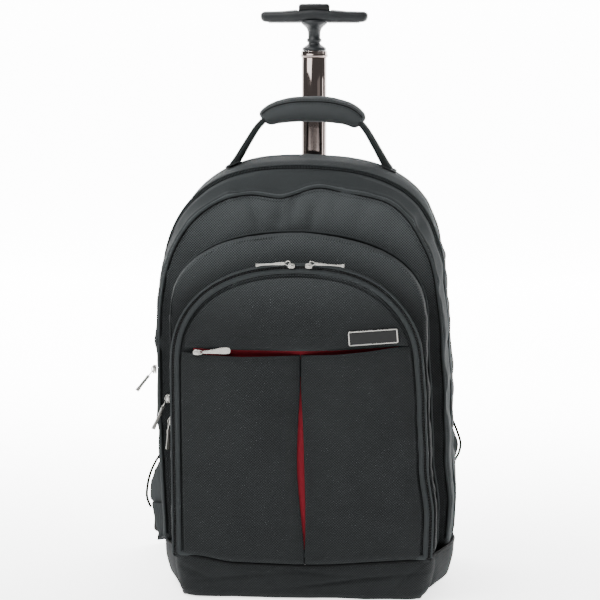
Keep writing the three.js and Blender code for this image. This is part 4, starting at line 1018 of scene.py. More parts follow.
ZIP_Y = -98.4
outer_welt = arch(0.9, ZIP_Y - 0.2)
inner_welt = arch(7.4, ZIP_Y - 0.5)
groove = arch(3.3, ZIP_Y)


def welt_form(path, wide, high, seed):
    """A folded strip of cloth, thick at its fold, with slight gathers along it."""
    along = lengths_along(path, 0)
    gather = 1 + 0.07 * noise(np.stack([along, 0 * along, 0 * along], -1), 9, seed)
    section = ellipse(wide, high, 14, 2.6)[None] * gather[:, None, None]
    return solid(sweep(path, section, inwards(path)))


tape = solid(sweep(arch(5.6, ZIP_Y + 0.6), ellipse(11.5, 1.0, 10, 4), inwards(groove)))
piece("front_zip_tape", [tape], "zip_tape", "front_zip")
piece("front_zip_outer_welt", [welt_form(outer_welt, 2.4, 3.4, 1)], "plain_cloth")
piece("front_zip_inner_welt", [welt_form(inner_welt, 5.8, 3.8, 2)], "plain_cloth")
coil = teeth_along(groove, np.broadcast_to(FRONT, groove.shape), COIL_PITCH, bead(3.0, 1.1, 1.3))
piece("front_zip_coil", [coil], "black_plastic")
rows = [stitches(arch(by, ZIP_Y - 2.2), FRONT, 3.0, 2.2, 0.45) for by in (5.8, 9.0)]
piece("front_zip_stitches", rows, "webbing")
print("front zip has", int(lengths_along(groove, 0)[-1] / COIL_PITCH), "turns of coil")

# %% [markdown]
# ## Front panels
# Above the lying slit sits one crowned panel. Below it the lower pocket is two panels that meet
# at an upright pleat: slack cloth that bows forwards, and opens as a thin lens over red lining.

# %% Front panels
PANEL_BACK = -98.2
PANEL_FRONT = PANEL_BACK - 2.5
SLIT = 284
SLIT_EDGE = SLIT + 6
PANEL = dict(half=131.3, foot=129.7, bottom=56.2, spring=260, top=361.5, power=2.35, corner=1, slump=4)
BEHIND = (0, 60, 220)
PANEL_SKIN = dict(around=False, inside=BEHIND, flat=True)


def half_at(shape, z):
    """Half width of an outline at heights z."""
    up = np.clip((z - shape["spring"]) / (shape["top"] - shape["spring"]), 0, 1)
    t = (z - shape["bottom"] - shape["corner"]) / (shape["spring"] - shape["bottom"] - shape["corner"])
    side = shape["foot"] + (shape["half"] - shape["foot"]) * np.sin(math.pi / 2 * np.clip(t, 0, 1))
    arched = shape["half"] * (1 - up ** shape["power"]) ** (1 / shape["power"])
    return np.where(z >= shape["spring"], arched, side)


def arch_at(shape, x):
    """Height of an outline's arch over places x."""
    across = np.clip(np.abs(x) / shape["half"], 0, 1)
    rise = (1 - across ** shape["power"]) ** (1 / shape["power"])
    crown = shape["spring"] + (shape["top"] - shape["spring"]) * rise
    return crown - np.where(x > 0, shape["slump"] * across, 0)


# Over x: how high the slit opens, how far it sags, and how far the boot's seam rises.
SLIT_GAP = [(-140, 5.0), (-112, 5.6), (-66, 6.6), (0, 5.0), (40, 3.8), (90, 1.8), (116, 0.4), (140, 0.3)]
SLIT_SAG = [(-140, 6.5), (-90, 8.5), (0, 9), (40, 8), (80, 5.5), (116, 2.6), (140, 2)]
SEAM_RISE = [(-172, 8), (-141, 8), (-105, 3), (-81, -2), (0, -3.8), (33, -2.7), (106, 2.7), (145, 5.5),
             (172, 10)]
# Over z: how far the pleat stands to the right.
PLEAT_DRIFT = [(0, 4.4), (70, 4.2), (105, 2.4), (140, 0.4), (160, 0), (400, 0)]


def upper_panel(u, v):
    """Panel between the slit and the arch: x by a cosine of u, z from the slit up to the arch. Its
    lowest 4 mm roll back into a hem."""
    half = half_at(PANEL, SLIT_EDGE) - 1
    x = -half * np.cos(math.pi * u)
    low = SLIT_EDGE - from_rows(SLIT_SAG, x)
    z = low + (np.maximum(arch_at(PANEL, x), low + 1) - low) * v
    y = PANEL_FRONT - 5 * np.sin(math.pi * u) * np.cos(math.pi / 2 * v)
    hem = np.exp(-(z - low) / 2.2)
    return np.stack([x, y + 1.5 * hem**2, z], -1)


def lower_panel(side):
    """Panel beside the pleat: x from the zip (u 0) to the pleat (u 1), z from the boot to the slit. It bows
    forwards by a half sine across and a rising power of a sine upwards."""
    def points(u, v):
        across = side * half_at(PANEL, SLIT) * (1 - u)
        low = SEAT + 1.5 + from_rows(SEAM_RISE, across)
        top = SLIT_EDGE - from_rows(SLIT_GAP, across) - from_rows(SLIT_SAG, across)
        z = low + (top - low) * v
        share = np.clip((v - 0.06) / 0.8, 0, 1)
        pleat = 0.35 + 3.6 * np.sin(math.pi * share) ** 1.2
        edge = half_at(PANEL, z)
        x = side * (edge + (pleat - edge) * u)
        lift = 2.4 * np.sin(math.pi / 2 * u)
        slack = 9 * np.sin(math.pi * u) * np.sin(math.pi / 2 * v) ** 1.5
        hem = np.exp(-(top - z) / 2.4) * 1.6 + np.exp(-(np.abs(x) - pleat) / 3.0) * 2.0
        x = x + from_rows(PLEAT_DRIFT, z) * fade(u, 0.4, 1)
        return np.stack([x, PANEL_FRONT - lift - slack + hem, z], -1)
    return points


def on_grid(function, columns, rows):
    """Evaluates a surface on a grid of its two parameters, finer near v = 1."""
    u, v = np.meshgrid(np.linspace(0, 1, columns), np.linspace(0, 1, rows) ** 0.8)
    return function(u, v)


def slack_cloth(points, seed, height=1.0):
    """Broad soft waves and a few finer ones, fading out at the panel's rim."""
    rows, columns, _ = points.shape
    r, c = np.meshgrid(np.linspace(0, 1, rows), np.linspace(0, 1, columns), indexing="ij")
    inner = np.minimum(fade(r, 0, 0.12), fade(1 - r, -0.05, 0.1))
    inner = inner * np.minimum(fade(c, 0, 0.12), fade(1 - c, -0.05, 0.1))
    waves = 1.6 * noise(points * [1, 0, 0.6], 55, seed) + 0.6 * noise(points, 19, seed + 1)
    moved = points.copy()
    moved[..., 1] -= height * inner * waves
    return moved


upper = slack_cloth(on_grid(upper_panel, 130, 44), 41, 0.5)
cloth_skin("upper_panel_cloth", hang(upper), "woven_cloth", "upper_panel", padded=0.4, **PANEL_SKIN)
hem = hang(upper[6] + FRONT * 0.1)
hems = [stitches(hem[6:-6], FRONT)]
for label, side, seed in (("left", -1, 51), ("right", 1, 61)):
    lower = slack_cloth(on_grid(lower_panel(side), 90, 120), seed)
    cloth_skin(f"pocket_{label}_cloth", hang(lower), "woven_cloth", f"pocket_{label}", padded=0.5,
               **PANEL_SKIN)
    hems += [stitches(hang(line + FRONT * 0.1), FRONT) for line in (lower[-4, 4:-3], lower[6:-6, -4])]
piece("panel_stitches", hems, "webbing")

# %% [markdown]
# ## Red linings
# Behind the slit and the pleat the lining shows: two thin sheets, stretched flat.

# %% Linings
def lining(name, node, x0, x1, z0, z1, seed):
    """A stretched sheet with a slight swell, a little proud of the pocket's face."""
    x, z = np.meshgrid(np.linspace(x0, x1, 60), np.linspace(z0, z1, 24))
    y = np.full_like(x, PANEL_BACK - 0.7)
    points = np.stack([x, y, z], -1)
    points[..., 1] -= 0.5 * noise(points, 14, seed)
    points[..., 0] += from_rows(PLEAT_DRIFT, z) * (x1 - x0 < 40)
    points[..., 2] -= from_rows(SLIT_SAG, x) * (x1 - x0 > 40)
    sheet = thicken(surface(name, hang(points), inside=BEHIND, flat=True), 0.4)
    finish_piece(sheet, "red_lining", node)


lining("slit_lining_sheet", "slit_lining", -118, 116, SLIT - 4, SLIT + 9, 71)
lining("pleat_lining_sheet", "pleat_lining", -8, 8, 58, 252, 72)
print("linings stretched")

# %% [markdown]
# ## Zip sliders and pullers
# A slider is two plates with a post between them, guide lips at its sides and a bridge that
# holds the bail. The pullers are flat castings: a narrow shank and a flared end.

# %% Zip pulls
def bar_outline(profile, count=40):
    """Outline of a flat bar from rows (share along, half width), by a smooth table."""
    at = np.linspace(profile[0][0], profile[-1][0], count)
    return at, np.maximum(from_rows(profile, at), 0.2)


def puller(long, rows, thick, bevel=0.5):
    """A flat puller that starts at 0 and runs along its first axis."""
    at, half = bar_outline(rows)
    flat = np.concatenate([np.stack([at * long, -half], 1), np.stack([at * long, half], 1)[::-1]])
    return plate(rounded(flat, 0.4, 2), thick, bevel)


def slider(size=1.0, long=10.5, wide=7.6):
    """Parts of a slider about the origin: its long axis first, its face towards +third axis."""
    shares = [(-0.5, 0.32), (-0.15, 0.5), (0.32, 0.5), (0.5, 0.25)]
    near_edge = [(long * x, -wide * y) for x, y in shares]
    body = rounded(near_edge + [(x, -y) for x, y in near_edge[::-1]], 1.6)
    top = plate(body, 1.5, 0.45) + [0, 0, 3.1]
    bottom = plate(body, 1.3, 0.4) + [0, 0, 0.7]
    post = plate(rounded(box_outline(2.6, 1.8), 0.5), 2.6, 0.2) + [long * 0.34, 0, 1.9]
    arch_turn = np.linspace(0, math.pi, 18)
    bridge_path = np.stack([-3.4 * np.cos(arch_turn), 0 * arch_turn, 3.6 + 1.9 * np.sin(arch_turn)], 1)
    bridge = sweep(bridge_path, ellipse(2.4, 1.0, 10, 3), (0, 1, 0))
    lip = plate(rounded(box_outline(long * 0.5, 0.8), 0.3), 1.6, 0.25)
    lips = [lip + [0.4, s * wide * 0.46, 2.0] for s in (-1, 1)]
    return [part * size for part in (top, bottom, post, bridge, *lips)]


def bail(reach, wide, wire=1.1):
    """A D-shaped wire loop in the first two axes, its straight side at 0."""
    flat = rounded([(0, -wide / 2), (0, wide / 2), (reach * 0.6, wide / 2), (reach, wide * 0.2),
                    (reach, -wide * 0.2), (reach * 0.6, -wide / 2)], wide * 0.3, 6)
    return sweep(raised(flat), ellipse(wire, wire, 8), ALONG_Z, True)


def pull(name, place, angle, long, rows, size=1.0, up=FRONT, thick=1.6, drop=0.0, slider_turn=None, lift=0.0):
    """Slider and puller of one zip: the puller leaves along an angle from +X in the plane square to `up`.
    The slider may be turned to lie along its own zip."""
    a = math.radians(angle)
    up = unit(np.asarray(up, float))
    level = unit(np.cross((0, 0, 1), up)) if abs(up[2]) < 0.9 else np.array([1.0, 0, 0])
    rise = np.cross(up, level)
    along = math.cos(a) * level + math.sin(a) * rise
    b = a if slider_turn is None else math.radians(slider_turn)
    slider_along = math.cos(b) * level + math.sin(b) * rise
    body = [solid(set_at(part, place, slider_along, np.cross(up, slider_along))) for part in slider(size)]
    piece(f"{name}_slider_body", body, "pull_metal", f"{name}_slider")
    start = np.asarray(place, float) + up * 4.3 * size + along * 1.2 + rise * lift
    hanging = unit(along - up * drop)
    across = np.cross(up, hanging)
    ring_part = solid(set_at(bail(7.4 * size, 6.0 * size), start, hanging, across), loop=True)
    blade = solid(set_at(puller(long, rows, thick), start + hanging * 6.6 * size + up * 0.3, hanging, across))
    piece(f"{name}_puller_bar", [ring_part, blade], "pull_metal", f"{name}_puller")


FISHTAIL = [(0, 1.5), (0.08, 1.7), (0.25, 1.4), (0.45, 0.95), (0.75, 0.9), (0.9, 1.3), (0.97, 2.2), (1, 2.3)]
TEARDROP = [(0, 1.4), (0.12, 1.7), (0.45, 2.7), (0.8, 4.1), (0.92, 4.1), (0.98, 3.3), (1, 2.4)]
ROD = [(0, 1.7), (0.1, 1.9), (0.25, 1.6), (0.7, 1.8), (0.92, 2.4), (1, 2.2)]

PULL_RISE = 1.8
zip_top = float(groove[:, 2].max())
for label, x, angle, turn in (("left", -10, 184, 180), ("right", 9, -4, 0)):
    place = (x, ZIP_Y - 1.6, zip_top + PULL_RISE)
    pull(f"front_{label}", place, angle, 33, FISHTAIL, 0.74, thick=1.3, drop=0.03, slider_turn=turn, lift=3.2)
slit_x = -113.5
slit_edge = lower_panel(-1)(np.linspace(0, 1, 60), np.ones(60))
slit_y = float(np.interp(slit_x, slit_edge[:, 0], slit_edge[:, 1]))
slit_z = SLIT + 2.4 - float(from_rows(SLIT_SAG, np.array([slit_x]))[0])
pull("slit", hang(np.array([slit_x, slit_y - 2.0, slit_z])), 3, 31, TEARDROP, 0.76, drop=0.16, slider_turn=0)


def side_pull(name, node_z, y, lean, long, shape, wide=1.0):
    """A pull on the left flank: the slider lies on the side, and the puller hangs from it."""
    edge = -float(half_at(sizes_of(shape), node_z)) * wide
    a = math.radians(lean)
    place = np.array([edge - 0.6, y, node_z])
    body = [solid(set_at(part, place, (0, 0, 1), (0, 1, 0))) for part in slider()]
    piece(f"{name}_slider_body", body, "pull_metal", f"{name}_slider")
    down = np.array([-math.sin(a), 0, -math.cos(a)])
    out = unit(np.cross(down, (0, 1, 0)))
    start = place + np.array([-4.6, -0.6, -2.0])
    ring_part = solid(set_at(bail(7.4, 6.0), start, down, (0, 1, 0)), loop=True)
    blade = solid(set_at(puller(long, ROD, 1.5), start + down * 6.6, down, (1, 0.35, 0)))
    piece(f"{name}_puller_bar", [ring_part, blade], "pull_metal", f"{name}_puller")


side_pull("side_main", 241, 0.5, 38, 23, "main_shell", 1.005)
side_pull("side_second", 216, -46.8, 24, 30, "third_shell", 1.02)
side_pull("side_spare", 190, -46.8, 3, 24, "third_shell")
print("six sliders")

# %% Label plate
LABEL_UP = 12.5


def label_frame():
    """Centre and axes of the plate on the upper panel."""
    x = 86.0
    foot = SLIT_EDGE - float(from_rows(SLIT_SAG, np.array([x]))[0])
    u = math.acos(-x / (float(half_at(PANEL, SLIT_EDGE)) - 1)) / math.pi
    v = LABEL_UP / (float(arch_at(PANEL, x)) - foot)
    here, beside = upper_panel(u, v), upper_panel(u + 0.02, v)
    lean = math.radians(4.4)
    along = unit((beside - here) * [1, 1, 0])
    along = unit(along + np.array([0, 0, math.tan(lean)]))
    return hang(here), along


label_place, label_along = label_frame()
label_up = unit(np.cross(np.cross(label_along, (0, 0, 1)), label_along))
label_out = np.cross(label_along, label_up)
label_out = label_out * (1 if label_out[1] < 0 else -1)
rim_flat = rounded(box_outline(54 - 1.4, 16 - 1.4), 1.4, 6)
rim_path = set_at(raised(rim_flat), label_place + label_out * 1.3, label_along, label_up)
rim = sweep(rim_path, ellipse(1.5, 1.5, 12, 3.2), label_out, True)
piece("label_rim_frame", [solid(rim, loop=True)], "pull_metal", "label_rim")
field = plate(rounded(box_outline(51.8, 13.8), 1.2), 1.4, 0.3)
field = set_at(field, label_place + label_out, label_along, label_up)
piece("label_field_plate", [solid(field)], "black_plastic", "label_field")

# %% [markdown]
# ## Boot and feet
# Heavier cloth wraps the bottom. Its sides draw in towards the floor, a welt runs round its
# top, and a long crease crosses its right half where the filled bag presses on it.

# %% Boot
BOOT_TOP, BOOT_FOOT, BOOT_SKIRT = 43.8, 8.0, 1.6
BOOT_HALF, BOOT_FACE, BOOT_CORNER = 145, -97.9 - 2, 26
BOOT_ROWS = 34


def boot_plan(by):
    """Open path round the boot at one height, from the left back round the front to the right back."""
    straight = BOOT_HALF - BOOT_CORNER
    right = [(162 - by, 58), (165 - by, 30), (166 - by, 6), (163 - by, -30), (151 - by * 0.9, -62)]
    corner = [(straight - by + BOOT_CORNER * math.sin(a), BOOT_FACE + by + BOOT_CORNER * (1 - math.cos(a)))
              for a in np.linspace(math.pi / 2, 0, 9)]
    flat = [(straight * s, BOOT_FACE + by) for s in (0.75, 0.5, 0.25, 0)]
    side = np.array(right + corner + flat)
    both = np.concatenate([side, side[-2::-1] * [-1, 1]])
    return spline(both, 460)


def boot_grid():
    """Rows from the top seam down: straight at first, then pulled in and rounded under the bag."""
    rows = []
    for v in np.linspace(0, 1, BOOT_ROWS):
        drawn_in = 5.0 * v + 8.0 * max(0, (v - 0.78) / 0.22) ** 2
        bulge = 1.6 * math.sin(math.pi * min(v * 1.3, 1))
        plan = boot_plan(-bulge)
        skirt = fade(-plan[:, 1], 30, 92)
        drawn = boot_plan(drawn_in - bulge)
        plan = plan + (drawn - plan) * (1 - 0.6 * skirt)[:, None]
        plan[:, 0] *= np.where(plan[:, 0] < 0, 0.98, 1.0)
        turned_up = np.where(plan[:, 0] > 0, 12, 8) * fade(np.abs(plan[:, 0]), 126, 150)
        foot = BOOT_FOOT + skirt * (BOOT_SKIRT + turned_up - BOOT_FOOT)
        seam = from_rows(SEAM_RISE, plan[:, 0]) * fade(-plan[:, 1], -80, 60) * (1 - v)
        rows.append(raised(plan, BOOT_TOP - (BOOT_TOP - foot) * v + seam))
    for share in (0.92, 0.7, 0.4, 0.03):
        under = rows[BOOT_ROWS - 1] * [share, 1 - 0.04 * (share < 0.95), 1]
        under[:, 2] = BOOT_FOOT + 0.4
        rows.append(under)
    return np.stack(rows)


boot = boot_grid()
BOOT_CREASES = [
    (60, 24, 66, 2.2, 8, 2.6),
    (20, 31, 50, 2.4, -4, 1.4),
    (-70, 26, 46, 2.6, 6, 1.8),
    (-118, 30, 22, 3, -22, 1.6),
    (118, 30, 18, 3, 40, 1.8),
]
boot[:BOOT_ROWS] = dented(rumpled(boot[:BOOT_ROWS], 1.1, 34, 81, False), BOOT_CREASES, BOOT_FACE)
cloth_skin("base_boot_cloth", hang(boot), "woven_cloth", "base_boot", padded=0.5, around=False,
           inside=(0, -20, 30))
welt_path = hang(boot[0]) + [0, 0, -0.4]
piece("base_boot_welt", [tube(even(welt_path, 300), 1.5)], "zip_tape")
boot_seam = hang(boot[4])
out_of = unit(np.cross(np.gradient(boot_seam, axis=0), (0, 0, 1)))
out_of = out_of * np.sign((out_of * (boot_seam - [0, 0, 30])).sum(1, keepdims=True))
piece("base_boot_stitches", [stitches(boot_seam, out_of)], "webbing")

FOOT_ROWS = [(0, 6), (0, 3.5), (0.6, 1.6), (1.8, 0.8), (6.2, -0.2), (7.4, -0.4), (7.4, 5)]
FOOT_X, FOOT_Y = 108, -74
foot = stacked(rounded(box_outline(54, 26), 7, 6), FOOT_ROWS)
for label, side in SIDES:
    foot_pad = solid(foot + [side * FOOT_X, FOOT_Y, 0])
    piece(f"front_foot_pad_{label}", [foot_pad], "foot_rubber", f"front_foot_{label}")
print("boot", boot.shape)

# %% [markdown]
# ## Pole, collar and bezel
# Three plated steel tubes run inside each other. Each is a closed profile turned round the
# pole's axis: outside, rim, bore and rim again.

# %% Pole
POLE = np.array([0.0, 108.0, 0.0])
OUTER_TOP = 476.0
MID_TOP = 598.5
COLLAR_TOP = 600.9


def ring_tube(outer, wall, low, high, steps=6):
    """Tube with rounded rims, with extra rings along it so that its shading stays even."""
    outside = [(outer, z) for z in np.linspace(low + 0.5, high - 0.5, steps)]
    inside = [(outer - wall, z) for z in np.linspace(high - 0.5, low + 0.5, steps)]
    profile = [(outer - 0.4, low), *outside, (outer - 0.4, high)]
    profile += [(outer - wall + 0.4, high), *inside, (outer - wall + 0.4, low)]
    return solid(turned(profile, POLE), loop=True)


TUBES = [
    ("outer_tube", 16.6, 1.6, 44.4, OUTER_TOP, "root"),
    ("mid_tube", 14.5, 1.6, MID_TOP - 430, MID_TOP, "pole_middle"),
    ("inner_tube", 12, 1.2, COLLAR_TOP - 415, COLLAR_TOP, "pole_inner"),
]
for node, outer, wall, low, high, body in TUBES:
    piece(f"{node}_body", [ring_tube(outer, wall, low, high)], "pole_metal", node, body=body)
collar = rounded([(12.35, 598.8), (14.8, 598.8), (14.8, 593.6), (15.8, 593.6), (16.1, 596.0), (15.2, 597.6),
                  (15.2, COLLAR_TOP), (12.35, COLLAR_TOP)], 0.4, 3)
collar_ring = solid(turned(collar, POLE), loop=True)
piece("mid_collar_ring", [collar_ring], "pole_metal", "mid_collar", body="pole_middle")
bezel = rounded([(16.95, 464), (18.4, 464), (18.4, 470.4), (21.2, 470.4), (21.4, 473), (19.6, 477),
                 (16.95, 477)], 0.8, 4)
piece("top_bezel_ring", [solid(turned(bezel, POLE), loop=True)], "black_plastic", "top_bezel")

# %% T grip and button
GRIP_FOOT = 601.2
BAR_LONG, BAR_FOOT, BAR_HIGH, BAR_DEEP = 125.0, 32.0, 17.5, 23.0
STEM = [(13.6, 0), (13.8, 0.6), (13.8, 3.0), (12.2, 4.0), (10.0, 5.6), (7.6, 7.4), (7.0, 8.6), (7.0, 9.6),
        (8.5, 10.3), (8.6, 13.4), (7.3, 14.3), (7.2, 18), (7.5, 22), (8.6, 25), (10.6, 27.5), (13.2, 29.6),
        (15.2, 31.4), (15.6, 33), (15.4, 35)]
BAR_ROWS = [(0, 0, 1, 1), (0.35, 0, 0.87, 1), (0.6, 0, 0.79, 0.92), (0.8, 0.0, 0.77, 0.88),
            (0.93, 0.05, 0.755, 0.82), (0.975, 0.15, 0.69, 0.64), (0.995, 0.28, 0.6, 0.42),
            (1, 0.4, 0.5, 0.22)]


def grip_bar():
    """Superellipse sections along X, their floor, crown and depth read from the rows and mirrored."""
    rows = np.array([(-x, *rest) for x, *rest in BAR_ROWS[:0:-1]] + BAR_ROWS)
    at = np.sin(np.linspace(-math.pi / 2, math.pi / 2, 90))
    low, top, deep = (np.interp(at, rows[:, 0], rows[:, k]) for k in (1, 2, 3))
    section = ellipse(2, 2, 32, 2.8)
    y = section[None, :, 0] * (deep * BAR_DEEP / 2)[:, None]
    z = BAR_FOOT + BAR_HIGH * ((low + top)[:, None] / 2 + section[None, :, 1] * (top - low)[:, None] / 2)
    x = np.broadcast_to((at * BAR_LONG / 2)[:, None], y.shape)
    return np.stack([x, y, z], -1)


def dished(points, half_x, half_y, depth, floor_top):
    """Sinks a rounded well for the button into the bar's crown."""
    inside = fade(half_x - np.abs(points[..., 0]), -0.4, 0.4)
    inside = inside * fade(half_y - np.abs(points[..., 1]), -0.4, 0.4)
    moved = points.copy()
    crown = points[..., 2] > floor_top
    moved[..., 2] -= np.where(crown, depth * inside, 0)
    return moved


grip_origin = POLE + [0, 0, GRIP_FOOT]
stem_profile = np.array([(0.4, 0), *STEM, (0.4, 36)])
stem = solid(turned(stem_profile, grip_origin))
bar = dished(grip_bar(), 18.35, 6.85, 4.6, BAR_FOOT + BAR_HIGH * 0.8)
ribs_x = np.concatenate([s * np.linspace(17.5, 52, 16) for s in (-1, 1)])
rib_places = np.stack([ribs_x, 0 * ribs_x, np.full_like(ribs_x, BAR_FOOT + 0.3)], 1) + grip_origin
count = len(rib_places)
rib = bead(BAR_DEEP * 0.78, 1.2, 2.6, 8, 6)
ribs = repeated(rib, rib_places, np.tile(ALONG_Y, (count, 1)), np.tile(ALONG_X, (count, 1)))
piece("t_grip_body", [stem, solid(bar + grip_origin), ribs], "grip_plastic", "t_grip", body="pole_inner")
button_flat = rounded(box_outline(36, 13), 3.2, 6)
button_rows = [(45.0, 0.4), (45.4, 0.0), (51.4, 0.0), (52.9, 0.6), (53.7, 1.8), (54.0, 3.2), (54.1, 4.6)]
button = stacked(button_flat, button_rows)
crease = [plate(rounded(box_outline(1.2, 8), 0.4), 0.8, 0.2) + [x, 0, 54.0] for x in (-6, -3, 0, 3, 6)]
button_forms = [solid(form + grip_origin) for form in (button, *crease)]
piece("button_cap", button_forms, "black_plastic", "button", body="grip_button")
print("grip top", round(float(bar[..., 2].max() + GRIP_FOOT), 1))

# %% [markdown]
# ## Carry handle
# A folded strap is sewn down at two anchors on the top, and a padded sleeve is wrapped round
# its middle. The sleeve's seam runs along its front, just below the top edge.

# %% Carry handle
HANDLE_Y, HANDLE_FOOT, HANDLE_TOP = 62.0, 90.0, 536.0
STRAP_STEPS, SLEEVE_STEPS = 240, 90
SLEEVE_WIDE, SLEEVE_HIGH, SLEEVE_POWER = 38, 29, 2.25
HANDLE_PATH = [(1, -0.02), (0.94, 0.1), (0.8, 0.43), (0.67, 0.7), (0.5, 0.9), (0.25, 0.985)]


def top_at(x):
    shape = sizes_of("main_shell", wide=0.995)
    return float(arch_at(shape, np.float64(x)))


def handle_path():
    """The strap's path from the left anchor to the right one, each leg from the same shares."""
    legs = []
    for s in (-1, 1):
        foot = top_at(s * HANDLE_FOOT)
        leg = [(s * a * HANDLE_FOOT, HANDLE_Y, foot * (1 - up) + HANDLE_TOP * up) for a, up in HANDLE_PATH]
        legs.append(leg)
    return spline(legs[0] + [(0, HANDLE_Y, HANDLE_TOP)] + legs[1][::-1], STRAP_STEPS)


strap_path = handle_path()
strap_thick = 6.4 + 3.2 * np.abs(np.linspace(-1, 1, STRAP_STEPS)) ** 2.5
strap_section = ellipse(25, 1, 20, 4)[None] * np.stack([np.ones(STRAP_STEPS), strap_thick], 1)[:, None]
piece("carry_strap_band", [solid(sweep(strap_path, strap_section, ALONG_Y))], "webbing", "carry_strap")
sleeve_path = even(strap_path[61:180], SLEEVE_STEPS)
t = np.linspace(0, 1, SLEEVE_STEPS)
swell = np.minimum(1, 0.62 + 0.42 * np.sin(math.pi * t) ** 0.55)
swell[[0, -1]] *= 0.8
swell[[1, -2]] *= 0.93
sleeve_section = ellipse(SLEEVE_WIDE, SLEEVE_HIGH, 40, SLEEVE_POWER)[None] * swell[:, None, None]
sleeve = sweep(sleeve_path, sleeve_section, ALONG_Y)
pinch = 1 + 0.02 * noise(sleeve * [1, 0.3, 0.3], 12, 91)[..., None]
sleeve = sleeve_path[:, None] + (sleeve - sleeve_path[:, None]) * pinch
_, across, out = frames(sleeve_path, ALONG_Y)
sign = 1 if out[45, 2] > 0 else -1


def sleeve_line(turn, lift=0.0):
    """A line along the sleeve at a turn from the front (0) up to the top (90 degrees)."""
    a = math.radians(turn)
    reach = (abs(math.cos(a)) ** SLEEVE_POWER + abs(math.sin(a)) ** SLEEVE_POWER) ** (-1 / SLEEVE_POWER)
    wide = (SLEEVE_WIDE / 2 * swell + lift) * reach * math.cos(a)
    high = (SLEEVE_HIGH / 2 * swell + lift) * reach * math.sin(a)
    return sleeve_path - across * wide[:, None] + out * sign * high[:, None]


sleeve_piece = joined("carry_grip_sleeve", [solid(sleeve)])
finish_piece(sleeve_piece, "back_padding", "carry_grip", padded=0.9)
seam_line = sleeve_line(36, 0.1)[3:-3]
piece("carry_grip_seam", [tube(seam_line, 0.6)], "zip_tape")
rows = [stitches(sleeve_line(turn, 0.1)[3:-3], unit((sleeve_line(turn, 1) - sleeve_path)[3:-3]))
        for turn in (26, 46)]
piece("carry_grip_stitches", rows, "webbing")
for label, s in SIDES:
    x = s * HANDLE_FOOT
    slope = np.array([2.0, 0, top_at(x + 1) - top_at(x - 1)])
    normal = unit(np.cross(slope, ALONG_Y)) * (1 if np.cross(slope, ALONG_Y)[2] > 0 else -1)
    place = np.array([x, HANDLE_Y, top_at(x)]) + normal * 0.2
    anchor = plate(rounded(box_outline(18, 32), 3, 5), 1.4, 0.6)
    piece(f"handle_anchor_patch_{label}", [solid(set_at(anchor, place, slope, ALONG_Y))], "plain_cloth",
          f"handle_anchor_{label}")
    square = rounded(box_outline(14, 26), 1, 3)
    square = np.concatenate([square, square[:1], [[7, 13]], [[-7, -13]]])
    sewn = set_at(raised(square), place + normal * 0.9, slope, ALONG_Y)
    piece(f"handle_anchor_stitches_{label}", [stitches(even(sewn, 120), normal, 3, 2.2)], "zip_tape")
print("sleeve has", sleeve.shape[0] * sleeve.shape[1], "corners")

# %% [markdown]
# ## Swelling padded pieces
# Foam and wadding push their cover outwards between its seams. The handle's sleeve, the yoke and
# the shoulder pads start a little slim and even, and Blender's cloth solver inflates each of them
# for twenty frames. A cap keeps every point near where it started, so the piece stays clear of its
# neighbours.

# %% Inflation
def inflated(obj, voxel=5.0, pressure=4.0, cap=4.0, frames_run=20):
    """Voxel remesh, twenty frames of cloth under pressure without gravity, moves cut to the cap, and one
    subdivision."""
    even_mesh = obj.modifiers.new("even", "REMESH")
    even_mesh.mode, even_mesh.voxel_size = "VOXEL", voxel * MM
    obj.data = bpy.data.meshes.new_from_object(obj.evaluated_get(bpy.context.evaluated_depsgraph_get()))
    obj.modifiers.remove(even_mesh)
    count = len(obj.data.vertices)
    start = np.empty(count * 3, np.float32)
    obj.data.vertices.foreach_get("co", start)
    cloth = obj.modifiers.new("cloth", "CLOTH")
    cloth.settings.use_pressure = True
    cloth.settings.uniform_pressure_force = pressure
    cloth.settings.effector_weights.gravity = 0
    cloth.point_cache.frame_start, cloth.point_cache.frame_end = 1, frames_run
    for frame_number in range(1, frames_run + 1):
        bpy.context.scene.frame_set(frame_number)
    swollen = obj.evaluated_get(bpy.context.evaluated_depsgraph_get()).data
    end = np.empty(count * 3, np.float32)
    swollen.vertices.foreach_get("co", end)
    move = (end - start).reshape(-1, 3)
    length = np.linalg.norm(move, axis=1, keepdims=True)
    move *= np.minimum(1, cap * MM / np.maximum(length, 1e-9))
    obj.modifiers.remove(cloth)
    bpy.context.scene.frame_set(1)
    obj.data.vertices.foreach_set("co", (start.reshape(-1, 3) + move).ravel())
    obj.data.polygons.foreach_set("use_smooth", np.full(len(obj.data.polygons), True))
    obj.data.update()
    print(obj.name, "swelled by up to", round(float(min(length.max() / MM, cap)), 1), "mm")
    return subdivide(obj)


inflated(sleeve_piece, 4.0, 3.0, 1.5)

# %% [markdown]
# ## Back panel
# The panel that lies against the wearer is thick foam under mesh, pressed into channels: one
# upright in the middle over the pole and three across.

